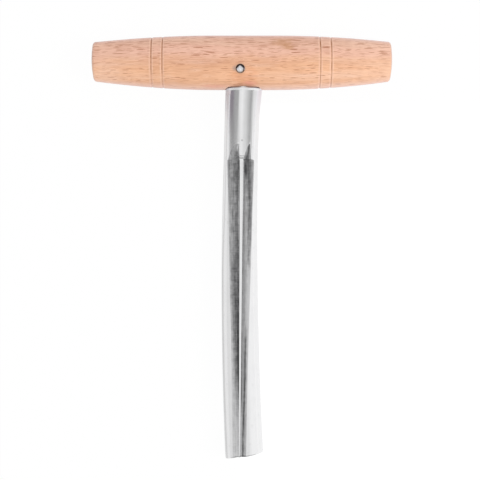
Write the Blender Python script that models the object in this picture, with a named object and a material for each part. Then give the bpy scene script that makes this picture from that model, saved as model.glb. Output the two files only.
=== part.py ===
"""Peg reamer with a turned cross handle: the handle, the fluted steel and the pin that joins them.

Metres, +Z up. The tool lies on a bench: the handle runs along X at the +Y end, the steel points to -Y,
and the belly of the handle and the tip of the steel both rest on z = 0.
Inside the tool frame, x = 0 and y = 0 is the middle of the handle and +Z is the front of the tool.
"""

import math

import bmesh
import bpy
from mathutils import Vector

# Fits
FIT_GAP = 0.0003  # between any two pieces that meet

# Handle
HANDLE_LENGTH = 0.110
HANDLE_DIAMETER = 0.0197  # at the belly
HANDLE_END_DIAMETER = 0.0141
HANDLE_BELLY_LENGTH = 0.022  # straight middle stretch
HANDLE_SWEEP_POWER = 1.8  # how late the sides fall away towards the ends
HANDLE_END_DOME = 0.0006
HANDLE_END_ROUND = 0.0013
GROOVE_FROM_MIDDLE = 0.0286  # inner groove of each pair
GROOVE_SPACING = 0.0040
GROOVE_WIDTH = 0.0007
GROOVE_DEPTH = 0.0003

# Steel
TANG_DIAMETER = 0.0082
TANG_PAST_AXIS = 0.0045  # reach of the tang beyond the handle's axis
SEAT_DEPTH = 0.00075  # flat seat cut into the belly under the shoulder
SHANK_DIAMETER = 0.0129  # at the shoulder
SHANK_CHAMFER = 0.0006
NECK_DIAMETER = 0.0126  # where the flutes begin
TIP_DIAMETER = 0.0139
FLUTE_START = 0.0356  # below the handle's axis
RUNOUT_LENGTH = 0.0058  # pointed run-out above each flute
REAMER_REACH = 0.1439  # handle's axis to the middle of the tip
END_SLANT = math.radians(8.3)
END_CONE_LENGTH = 0.0018
END_CONE_DROP = 0.0002
STEEL_BOW = 0.0015  # how far the middle stands left of the chord
STEEL_SIDE_TOP = 0.0006  # chord's offset from the handle's middle at the shoulder
STEEL_SIDE_TIP = 0.0010

# Flutes: edges of the front pair seen from the front, at the start and at the tip
LEFT_FLUTE_OUTER = (-0.0050, -0.0035)
RIB_LEFT = (-0.0007, -0.0011)
RIB_RIGHT = (0.0006, -0.0005)
RIGHT_FLUTE_OUTER = (0.0046, 0.0013)
FLUTE_DEPTH = (0.0021, 0.0009)
FLUTE_SKEW = 0.45  # below 1 puts the deepest line beside the rib
RIB_RELIEF = 0.00015
SHOULDER_RUN = 0.0002  # length of the step at the start of the flutes

# Run-outs: edges of the front pair at their tips and where they meet the flutes
LEFT_RUNOUT_OUTER = (-0.0022, -0.0039)
LEFT_RUNOUT_INNER = (-0.0019, -0.0010)
RIGHT_RUNOUT_INNER = (0.0028, 0.0008)
RIGHT_RUNOUT_OUTER = (0.0031, 0.0036)
RUNOUT_DEPTH_SHARE = 0.7  # of the flutes' depth where they meet

# Cross pin
PIN_DIAMETER = 0.0028
PIN_BELOW_AXIS = 0.00295
PIN_SIDE = -0.0005
PIN_EDGE = 0.0003  # chamfer of each end

# Mesh fineness
HANDLE_STEPS = 48
BARREL_STEPS = 6  # between belly and inner groove, and from outer groove to the end
END_STEPS = 3
RIB_STEPS = 2
FLUTE_STEPS = 6
LAND_STEPS = 8
PIN_STEPS = 24
BLADE_RINGS = 16
SHANK_RINGS = 4
RUNOUT_RINGS = 4
SHARP_ANGLE = math.radians(32)
MERGE_DISTANCE = 1e-6

HANDLE_RADIUS = HANDLE_DIAMETER / 2
SHOULDER_AT = HANDLE_RADIUS - SEAT_DEPTH + FIT_GAP  # below the handle's axis


def blend(pair, share):
    """Value between the two ends of a pair."""
    return pair[0] + (pair[1] - pair[0]) * share


def smooth_mesh(bm):
    """Turns the faces outward and shades them smooth up to the sharp angle."""
    bmesh.ops.recalc_face_normals(bm, faces=bm.faces)
    for face in bm.faces:
        face.smooth = True
    for edge in bm.edges:
        edge.smooth = edge.calc_face_angle(0.0) < SHARP_ANGLE


def new_object(name, bm, frame):
    """Object made from a bmesh, held by the tool frame."""
    mesh = bpy.data.meshes.new(name)
    bm.to_mesh(mesh)
    bm.free()
    made = bpy.data.objects.new(name, mesh)
    made.parent = frame
    bpy.context.scene.collection.objects.link(made)
    return made


def finish(made, name, colour, roughness, metallic):
    """Gives a piece its own material."""
    material = bpy.data.materials.new(name)
    material.use_nodes = True
    shader = material.node_tree.nodes["Principled BSDF"]
    shader.inputs["Base Color"].default_value = (*colour, 1.0)
    shader.inputs["Roughness"].default_value = roughness
    shader.inputs["Metallic"].default_value = metallic
    made.data.materials.append(material)


def beech(made):
    """Bare turned beech."""
    finish(made, "beech", (0.80, 0.47, 0.31), 0.6, 0.0)


def ground_steel(made):
    """Bright steel of the reamer."""
    finish(made, "ground_steel", (0.66, 0.66, 0.67), 0.28, 1.0)


def pin_steel(made):
    """Cut steel wire of the pin."""
    finish(made, "pin_steel", (0.58, 0.58, 0.60), 0.42, 1.0)


def turned(name, profile, axis, steps, frame):
    """Solid of revolution from a profile that starts and ends on the axis."""
    bm = bmesh.new()
    points = [bm.verts.new(point) for point in profile]
    edges = [bm.edges.new(pair) for pair in zip(points, points[1:])]
    bmesh.ops.spin(bm, geom=points + edges, axis=axis, cent=(0, 0, 0), angle=math.tau, steps=steps)
    bmesh.ops.remove_doubles(bm, verts=bm.verts, dist=MERGE_DISTANCE)
    smooth_mesh(bm)
    return new_object(name, bm, frame)


def cutter(name, radius, start, end, steps, frame):
    """Round cutter between two points, kept out of the part."""
    start = Vector(start)
    along = Vector(end) - start
    bm = bmesh.new()
    bmesh.ops.create_cone(
        bm, cap_ends=True, segments=steps, radius1=radius, radius2=radius, depth=along.length
    )
    made = new_object(name, bm, frame)
    made.location = start + along / 2
    made.rotation_euler = along.to_track_quat("Z", "Y").to_euler()
    made.hide_render = True
    made.display_type = "WIRE"
    return made


def cut(target, tool):
    """Takes a cutter out of a piece."""
    modifier = target.modifiers.new(tool.name, "BOOLEAN")
    modifier.operation = "DIFFERENCE"
    modifier.solver = "EXACT"
    modifier.object = tool


def barrel_radius(x):
    """Radius of the handle at a distance from its middle, without the grooves."""
    straight = HANDLE_BELLY_LENGTH / 2
    share = max(0.0, (abs(x) - straight) / (HANDLE_LENGTH / 2 - straight))
    return HANDLE_RADIUS - (HANDLE_DIAMETER - HANDLE_END_DIAMETER) / 2 * share**HANDLE_SWEEP_POWER


def handle_half():
    """Profile points (x, radius) of one half, from the belly out to the middle of the end."""
    points = []
    inner = GROOVE_FROM_MIDDLE
    outer = GROOVE_FROM_MIDDLE + GROOVE_SPACING
    straight = HANDLE_BELLY_LENGTH / 2
    corner = HANDLE_LENGTH / 2 - HANDLE_END_DOME - HANDLE_END_ROUND
    before = inner - GROOVE_WIDTH
    for step in range(BARREL_STEPS):
        x = straight + (before - straight) * step / BARREL_STEPS
        points.append((x, barrel_radius(x)))
    for x in (inner, outer):
        points.append((x - GROOVE_WIDTH / 2, barrel_radius(x - GROOVE_WIDTH / 2)))
        points.append((x, barrel_radius(x) - GROOVE_DEPTH))
        points.append((x + GROOVE_WIDTH / 2, barrel_radius(x + GROOVE_WIDTH / 2)))
    after = outer + GROOVE_WIDTH
    for step in range(1, BARREL_STEPS):
        x = after + (corner - after) * step / BARREL_STEPS
        points.append((x, barrel_radius(x)))
    rim = barrel_radius(corner) - HANDLE_END_ROUND
    for step in range(END_STEPS + 1):
        turn = math.pi / 2 * step / END_STEPS
        x = corner + HANDLE_END_ROUND * math.sin(turn)
        points.append((x, rim + HANDLE_END_ROUND * math.cos(turn)))
    for step in range(1, END_STEPS + 1):
        radius = rim * (1 - step / END_STEPS)
        rise = HANDLE_END_DOME * (1 - (radius / rim) ** 2)
        points.append((corner + HANDLE_END_ROUND + rise, radius))
    return points


def make_handle(frame, pin_hole):
    """Barrel handle with a blind bore for the tang, a flat seat and a cross hole."""
    half = handle_half()
    profile = [(x, 0, radius) for x, radius in reversed(half)]
    profile += [(-x, 0, radius) for x, radius in half]
    handle = turned("handle", profile, (1, 0, 0), HANDLE_STEPS, frame)
    side = steel_side(SHOULDER_AT)
    below = -2 * HANDLE_RADIUS
    bore = cutter(
        "bore_cutter",
        TANG_DIAMETER / 2 + FIT_GAP,
        (side, below, 0),
        (side, TANG_PAST_AXIS + FIT_GAP, 0),
        HANDLE_STEPS,
        frame,
    )
    seat = cutter(
        "seat_cutter",
        SHANK_DIAMETER / 2 + FIT_GAP,
        (side, below, 0),
        (side, SEAT_DEPTH - HANDLE_RADIUS, 0),
        HANDLE_STEPS,
        frame,
    )
    for tool in (bore, seat, pin_hole):
        cut(handle, tool)
    beech(handle)
    return handle


def steel_side(down):
    """Sideways place of the steel's bowed centre line at a distance below the handle's axis."""
    share = (down - SHOULDER_AT) / (REAMER_REACH - SHOULDER_AT)
    chord = blend((STEEL_SIDE_TOP, STEEL_SIDE_TIP), share)
    return chord - STEEL_BOW * (1 - (2 * share - 1) ** 2)


def steel_radius(down):
    """Radius of the steel over its lands."""
    if down < FLUTE_START:
        share = (down - SHOULDER_AT) / (FLUTE_START - SHOULDER_AT)
        return blend((SHANK_DIAMETER, NECK_DIAMETER), share) / 2
    share = (down - FLUTE_START) / (REAMER_REACH - FLUTE_START)
    return blend((NECK_DIAMETER, TIP_DIAMETER), share) / 2


def flute_edges(down):
    """Front-view edges of the front flute pair at a distance below the handle's axis."""
    share = max(0.0, (down - FLUTE_START) / (REAMER_REACH - FLUTE_START))
    return [blend(pair, share) for pair in (LEFT_FLUTE_OUTER, RIB_LEFT, RIB_RIGHT, RIGHT_FLUTE_OUTER)]


def runout_edges(share):
    """Edges of the pointed run-outs, from their tips at 0 to the start of the flutes at 1."""
    pairs = (LEFT_RUNOUT_OUTER, LEFT_RUNOUT_INNER, RIGHT_RUNOUT_INNER, RIGHT_RUNOUT_OUTER)
    return [blend(pair, share) for pair in pairs]


def ring(down, radius, edges, depth, relief):
    """One cross-section: rib, right flute, right land and left flute, then the same turned half round."""
    side = steel_side(max(down, SHOULDER_AT))
    turn = [math.asin(max(-1, min(1, (edge - side) / radius))) for edge in edges]
    left_outer, rib_left, rib_right, right_outer = turn
    half = []
    for step in range(RIB_STEPS):
        half.append((rib_left + (rib_right - rib_left) * step / RIB_STEPS, radius - relief))
    for step in range(FLUTE_STEPS):
        share = step / FLUTE_STEPS
        low = depth * math.sin(math.pi * share**FLUTE_SKEW) + relief * (1 - share)
        half.append((rib_right + (right_outer - rib_right) * share, radius - low))
    for step in range(LAND_STEPS):
        share = step / LAND_STEPS
        half.append((right_outer + (left_outer + math.pi - right_outer) * share, radius))
    for step in range(FLUTE_STEPS):
        share = step / FLUTE_STEPS
        low = depth * math.sin(math.pi * (1 - share) ** FLUTE_SKEW) + relief * share
        half.append((math.pi + left_outer + (rib_left - left_outer) * share, radius - low))
    points = half + [(angle + math.pi, reach) for angle, reach in half]
    return [Vector((side + r * math.sin(a), -down, r * math.cos(a))) for a, r in points]


def plain_ring(down, radius):
    """Round cross-section with its points spread like those of the fluted part."""
    start = steel_radius(FLUTE_START)
    side = steel_side(max(down, SHOULDER_AT))
    edges = [side + (edge - steel_side(FLUTE_START)) * radius / start for edge in flute_edges(FLUTE_START)]
    return ring(down, radius, edges, 0, 0)


def tip_ring():
    """Last cross-section, pushed onto the slanted end."""
    radius = steel_radius(REAMER_REACH) - END_CONE_DROP
    points = ring(REAMER_REACH, radius, flute_edges(REAMER_REACH), FLUTE_DEPTH[1], RIB_RELIEF)
    side = steel_side(REAMER_REACH)
    for point in points:
        point.y += (point.x - side) * math.tan(END_SLANT)
    return points


def steel_rings():
    """Cross-sections of the steel from the top of the tang to the tip."""
    tang = TANG_DIAMETER / 2
    rings = [
        plain_ring(-TANG_PAST_AXIS, tang - SHANK_CHAMFER),
        plain_ring(SHANK_CHAMFER - TANG_PAST_AXIS, tang),
        plain_ring(SHOULDER_AT, tang),
        plain_ring(SHOULDER_AT, steel_radius(SHOULDER_AT) - SHANK_CHAMFER),
    ]
    top = SHOULDER_AT + SHANK_CHAMFER
    runout = FLUTE_START - RUNOUT_LENGTH
    for step in range(SHANK_RINGS):
        down = top + (runout - top) * step / SHANK_RINGS
        rings.append(plain_ring(down, steel_radius(down)))
    for step in range(RUNOUT_RINGS + 1):
        share = step / RUNOUT_RINGS
        down = runout + RUNOUT_LENGTH * share
        depth = FLUTE_DEPTH[0] * RUNOUT_DEPTH_SHARE * share
        rings.append(ring(down, steel_radius(down), runout_edges(share), depth, 0))
    first = FLUTE_START + SHOULDER_RUN
    last = REAMER_REACH - END_CONE_LENGTH
    for step in range(BLADE_RINGS + 1):
        share = step / BLADE_RINGS
        down = first + (last - first) * share
        depth = blend(FLUTE_DEPTH, share)
        rings.append(ring(down, steel_radius(down), flute_edges(down), depth, RIB_RELIEF))
    rings.append(tip_ring())
    return rings


def make_reamer(frame, pin_hole):
    """Tang, shouldered shank and fluted blade in one bar."""
    bm = bmesh.new()
    rings = [[bm.verts.new(point) for point in points] for points in steel_rings()]
    bm.faces.new(rings[0])
    bm.faces.new(reversed(rings[-1]))
    for upper, lower in zip(rings, rings[1:]):
        for index, point in enumerate(upper):
            bm.faces.new((point, upper[index - 1], lower[index - 1], lower[index]))
    smooth_mesh(bm)
    reamer = new_object("reamer", bm, frame)
    cut(reamer, pin_hole)
    ground_steel(reamer)
    return reamer


def pin_half_length():
    """Half length of the pin: its lower edge is flush with the belly, front and back."""
    low = PIN_BELOW_AXIS + PIN_DIAMETER / 2
    return math.sqrt(HANDLE_RADIUS**2 - low**2)


def make_pin(frame):
    """Cross pin with chamfered ends."""
    half = pin_half_length()
    radius = PIN_DIAMETER / 2
    outline = [(0, half), (radius - PIN_EDGE, half), (radius, half - PIN_EDGE)]
    profile = [(r, 0, z) for r, z in outline] + [(r, 0, -z) for r, z in reversed(outline)]
    pin = turned("cross_pin", profile, (0, 0, 1), PIN_STEPS, frame)
    pin.location = (PIN_SIDE, -PIN_BELOW_AXIS, 0)
    pin_steel(pin)
    return pin


def place_on_bench(frame):
    """Lays the tool down on the handle's belly and the tip, with the box's middle over the origin."""
    contact = REAMER_REACH - END_CONE_LENGTH
    radius = steel_radius(contact)
    tilt = math.asin(HANDLE_RADIUS / math.hypot(contact, radius)) - math.atan2(radius, contact)
    corner = REAMER_REACH + steel_radius(REAMER_REACH) * math.tan(END_SLANT)
    middle = (corner * math.cos(tilt) - HANDLE_RADIUS) / 2
    frame.rotation_euler = (tilt, 0, 0)
    frame.location = (0, middle, HANDLE_RADIUS)


def main():
    """Builds the tool."""
    for old in list(bpy.data.objects):
        bpy.data.objects.remove(old)
    frame = bpy.data.objects.new("tool_frame", None)
    bpy.context.scene.collection.objects.link(frame)
    place_on_bench(frame)
    pin_hole = cutter(
        "pin_cutter",
        PIN_DIAMETER / 2 + FIT_GAP,
        (PIN_SIDE, -PIN_BELOW_AXIS, -HANDLE_DIAMETER),
        (PIN_SIDE, -PIN_BELOW_AXIS, HANDLE_DIAMETER),
        PIN_STEPS,
        frame,
    )
    make_handle(frame, pin_hole)
    make_reamer(frame, pin_hole)
    make_pin(frame)


main()
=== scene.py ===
"""Dresses the peg reamer: the turned beech handle, the fluted steel and the cut pin that joins them.

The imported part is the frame. Each class models one piece in the tool's own frame, where the middle of the
handle is the origin, the steel points to -Y and +Z is the front, and then lays it down as the part lies.
"""

import logging
import math
from dataclasses import dataclass, field
from enum import Enum
from typing import Callable, Iterable, Sequence

import bmesh
import bpy
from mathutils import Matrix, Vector, noise


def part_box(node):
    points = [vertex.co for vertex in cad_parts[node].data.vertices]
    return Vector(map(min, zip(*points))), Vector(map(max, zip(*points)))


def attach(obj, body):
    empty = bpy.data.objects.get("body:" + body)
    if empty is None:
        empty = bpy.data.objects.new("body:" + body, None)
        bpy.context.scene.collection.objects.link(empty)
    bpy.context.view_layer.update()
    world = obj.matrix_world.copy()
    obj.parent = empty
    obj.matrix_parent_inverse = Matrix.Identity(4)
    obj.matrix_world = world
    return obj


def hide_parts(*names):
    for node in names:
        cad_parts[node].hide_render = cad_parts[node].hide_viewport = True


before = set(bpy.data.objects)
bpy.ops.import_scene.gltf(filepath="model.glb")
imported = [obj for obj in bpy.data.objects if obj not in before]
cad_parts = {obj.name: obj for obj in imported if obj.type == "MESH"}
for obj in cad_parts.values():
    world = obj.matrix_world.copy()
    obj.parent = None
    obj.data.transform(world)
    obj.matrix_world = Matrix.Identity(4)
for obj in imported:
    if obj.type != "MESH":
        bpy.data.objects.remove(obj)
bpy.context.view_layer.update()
BODY = "root"
FIT_GAP = 0.0003  # between the handle and the steel in it
MERGE_DISTANCE = 1e-6
SHARP_ANGLE = math.radians(34)
START_SIZE = 0.001  # of the primitives that pieces are drawn out from

log = logging.getLogger("peg_reamer")

Colour = tuple[float, float, float]
Place = tuple[float, float, float]  # in metres in the tool's frame, as are cells and half sizes
Span = tuple[float, float]  # both ends of a stretch, or a pair of values at its ends
Range = tuple[float, float, float, float]  # both ends of a stretch and the values at them
Profile = list[tuple[float, float]]
Ring = tuple[list[Vector], list[float]]  # places and residue with painted shade, below 0 where the steel is polished
Ramp = tuple[tuple[float, float], ...]  # pairs of angle in degrees and level
WHITE = (1.0, 1.0, 1.0)
HALF_TURN = 180.0
TOP_LEVEL = 2.0  # that a ramp can hold


class Axis(Enum):
    """Directions that a piece is turned or bored along, in the tool's frame."""

    ACROSS = (1.0, 0.0, 0.0)
    ALONG = (0.0, 1.0, 0.0)
    THROUGH = (0.0, 0.0, 1.0)

    @property
    def turn(self) -> tuple[float, float, float]:
        """Rotation that lays a primitive's own Z along this direction.

        Returns:
            The turns about X, Y and Z.
        """
        turns = {
            Axis.ACROSS: (0.0, math.pi / 2, 0.0),
            Axis.ALONG: (math.pi / 2, 0.0, 0.0),
            Axis.THROUGH: (0.0, 0.0, 0.0),
        }
        return turns[self]


class Zone(Enum):
    """Stretches round one half of the steel's cross-section, each with its count of columns."""

    RIB = 18
    FLUTE = 24
    LAND = 36


def between(pair: Span, share: float) -> float:
    """Value between the two ends of a pair."""
    return pair[0] + (pair[1] - pair[0]) * share


def held(value: float) -> float:
    """Value kept between 0 and 1."""
    return max(0.0, min(1.0, value))


def ease(share: float) -> float:
    """Share smoothed to leave and arrive level."""
    kept = held(share)
    return kept * kept * (3 - 2 * kept)


def hump(value: float, middle: float, width: float) -> float:
    """Soft hump of height 1 around a middle value."""
    return math.exp(-(((value - middle) / width) ** 2))


@dataclass(frozen=True)
class Trend:
    """Value that changes along a line.

    A step says where a change starts, how long it runs and what it adds. A swell says what it adds at
    most, where its middle lies and how wide it is.
    """

    first: float = 0.0
    steps: tuple[tuple[float, float, float], ...] = ()
    swells: tuple[tuple[float, float, float], ...] = ()
    pace: Callable[[float], float] = ease

    def at(self, along: float) -> float:
        """Value at a place along the line.

        Args:
            along: Place along the line.

        Returns:
            The value.
        """
        stepped = sum(change * self.pace((along - start) / run) for start, run, change in self.steps)
        swollen = sum(height * hump(along, middle, width) for height, middle, width in self.swells)
        return self.first + stepped + swollen


@dataclass(frozen=True)
class Streak:
    """Streak along a flute of residue and painted shade, or of painted highlight where it is below 0: its
    darkness, the place of its middle across it and its width.
    """

    dark: Trend
    middle: Trend
    width: Trend

    def at(self, along: float, share: float) -> float:
        """Darkness of residue and painted shade that the streak adds at a place along and across the flute.
        """
        return self.dark.at(along) * hump(share, self.middle.at(along), self.width.at(along))


@dataclass(frozen=True)
class Wash:
    """Wash of residue and painted shade from the rib out to an edge: its darkness, its edge and how soft
    that is.
    """

    dark: Trend
    edge: Trend
    softness: float

    def at(self, along: float, share: float) -> float:
        """Darkness of residue and painted shade that the wash adds at a place along and across the flute.
        """
        return self.dark.at(along) * ease((self.edge.at(along) - share) / self.softness)


@dataclass(frozen=True)
class ResidueAndShade:
    """Darkness of residue and painted shade in one flute: an even film, and washes and streaks that darken
    it as residue and painted shade, or lighten it as painted highlights.

    Places along the flute run from 0 at its start to 1 at the tip, and below 0 in its run-out. Places
    across it run from 0 at the rib to 1 at the land.
    """

    film: Trend
    marks: tuple[Wash | Streak, ...]

    def at(self, along: float, share: float) -> float:
        """Darkness from 0 to 1 at a place along and across the flute."""
        return held(self.film.at(along) + sum(mark.at(along, share) for mark in self.marks))


class Bench:
    """Modelling steps that every piece shares."""

    @staticmethod
    def pick(piece: bpy.types.Object) -> None:
        """Makes a piece the only selected and active object.

        Args:
            piece: Piece to pick.
        """
        bpy.ops.object.select_all(action="DESELECT")
        piece.select_set(True)
        bpy.context.view_layer.objects.active = piece

    @staticmethod
    def open_ring(name: str, count: int) -> bpy.types.Object:
        """Adds an open ring of points to extrude a piece from.

        Args:
            name: Name of the piece.
            count: Points round the ring.

        Returns:
            The new object, picked.
        """
        bpy.ops.object.select_all(action="DESELECT")
        bpy.ops.mesh.primitive_circle_add(vertices=count, radius=START_SIZE)
        piece = bpy.context.object
        piece.name = name
        piece.data.name = name
        return piece

    @staticmethod
    def _place(piece: bpy.types.Object, row: Sequence[int], section: Sequence[Vector]) -> None:
        """Moves the points of one row to their places.

        Args:
            piece: Piece in edit mode.
            row: Point numbers of the row.
            section: Their places.
        """
        bm = bmesh.from_edit_mesh(piece.data)
        bm.verts.ensure_lookup_table()
        for index, place in zip(row, section):
            bm.verts[index].co = place

    @staticmethod
    def _extruded(piece: bpy.types.Object, row: Sequence[int]) -> list[int]:
        """Extrudes the selected row and finds the new points.

        Args:
            piece: Piece in edit mode.
            row: Point numbers of the selected row.

        Returns:
            Numbers of the new points, in the old row's order.
        """
        bpy.ops.mesh.extrude_region_move()
        bm = bmesh.from_edit_mesh(piece.data)
        bm.verts.ensure_lookup_table()
        bm.verts.index_update()
        parents = set(row)
        follows = {}
        for vert in bm.verts[-len(row) :]:
            for edge in vert.link_edges:
                other = edge.other_vert(vert).index
                if other in parents:
                    follows[other] = vert.index
        return [follows[index] for index in row]

    @classmethod
    def sweep(cls, piece: bpy.types.Object, sections: Sequence[Sequence[Vector]]) -> list[list[int]]:
        """Extrudes a piece's open ring through cross-sections and closes both ends.

        Args:
            piece: Object whose mesh is one ring of points.
            sections: Cross-sections with one place for each point of the ring.

        Returns:
            Point numbers of each cross-section.
        """
        bpy.ops.object.mode_set(mode="EDIT")
        bpy.ops.mesh.select_mode(type="VERT")
        bpy.ops.mesh.select_all(action="SELECT")
        rows = [list(range(len(sections[0])))]
        cls._place(piece, rows[0], sections[0])
        for section in sections[1:]:
            rows.append(cls._extruded(piece, rows[-1]))
            cls._place(piece, rows[-1], section)
        for row in (rows[0], rows[-1]):
            cls.select_points(piece, row)
            bpy.ops.mesh.edge_face_add()
        bpy.ops.mesh.select_all(action="SELECT")
        bpy.ops.mesh.normals_make_consistent(inside=False)
        bpy.ops.object.mode_set(mode="OBJECT")
        return rows

    @staticmethod
    def select_points(piece: bpy.types.Object, row: Iterable[int]) -> None:
        """Selects only some points of a piece.

        Args:
            piece: Piece in edit mode.
            row: Numbers of the points.
        """
        bpy.ops.mesh.select_all(action="DESELECT")
        bm = bmesh.from_edit_mesh(piece.data)
        bm.verts.ensure_lookup_table()
        for index in row:
            bm.verts[index].select_set(True)
        bm.select_flush(True)
        bmesh.update_edit_mesh(piece.data)

    @staticmethod
    def turned(name: str, profile: Profile, axis: Axis, steps: int) -> bpy.types.Object:
        """Turns a solid from a profile that starts and ends on the axis.

        Args:
            name: Name of the piece.
            profile: Pairs of place along the axis and radius.
            axis: Axis of the lathe.
            steps: Steps round the axis.

        Returns:
            The turned piece, picked.
        """
        bpy.ops.object.select_all(action="DESELECT")
        bpy.ops.mesh.primitive_plane_add(size=START_SIZE)
        piece = bpy.context.object
        piece.name = name
        piece.data.name = name
        along = Vector(axis.value)
        out = Vector((0, 1, 0)) if axis is not Axis.ALONG else Vector((0, 0, 1))
        places = [along * x + out * radius for x, radius in profile]
        bpy.ops.object.mode_set(mode="EDIT")
        bpy.ops.mesh.select_all(action="SELECT")
        bpy.ops.mesh.merge(type="CENTER")
        bpy.ops.transform.translate(value=places[0])
        for start, end in zip(places, places[1:]):
            bpy.ops.mesh.extrude_region_move(TRANSFORM_OT_translate={"value": end - start})
        bpy.ops.mesh.select_all(action="SELECT")
        bpy.ops.mesh.spin(steps=steps, angle=math.tau, center=(0, 0, 0), axis=along)
        bpy.ops.mesh.select_all(action="SELECT")
        bpy.ops.mesh.remove_doubles(threshold=MERGE_DISTANCE)
        bpy.ops.mesh.normals_make_consistent(inside=False)
        bpy.ops.object.mode_set(mode="OBJECT")
        return piece

    @classmethod
    def bore(
        cls, piece: bpy.types.Object, radius: float, start: Vector, end: Vector, axis: Axis, steps: int
    ) -> None:
        """Drills a round hole into a piece and clears the drill away.

        Args:
            piece: Piece to drill.
            radius: Radius of the hole.
            start: Middle of one end of the drill.
            end: Middle of the other end.
            axis: Direction of the hole.
            steps: Sides of the drill.
        """
        bpy.ops.object.select_all(action="DESELECT")
        bpy.ops.mesh.primitive_cylinder_add(
            vertices=steps,
            radius=radius,
            depth=(end - start).length,
            location=(start + end) / 2,
            rotation=axis.turn,
        )
        drill = bpy.context.object
        cls.pick(piece)
        cut = piece.modifiers.new("drill", "BOOLEAN")
        cut.operation = "DIFFERENCE"
        cut.solver = "EXACT"
        cut.object = drill
        bpy.ops.object.modifier_apply(modifier=cut.name)
        bpy.data.objects.remove(drill)

    @classmethod
    def smooth(cls, piece: bpy.types.Object) -> None:
        """Shades a piece smooth up to the sharp angle."""
        cls.pick(piece)
        bpy.ops.object.shade_smooth_by_angle(angle=SHARP_ANGLE)


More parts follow.
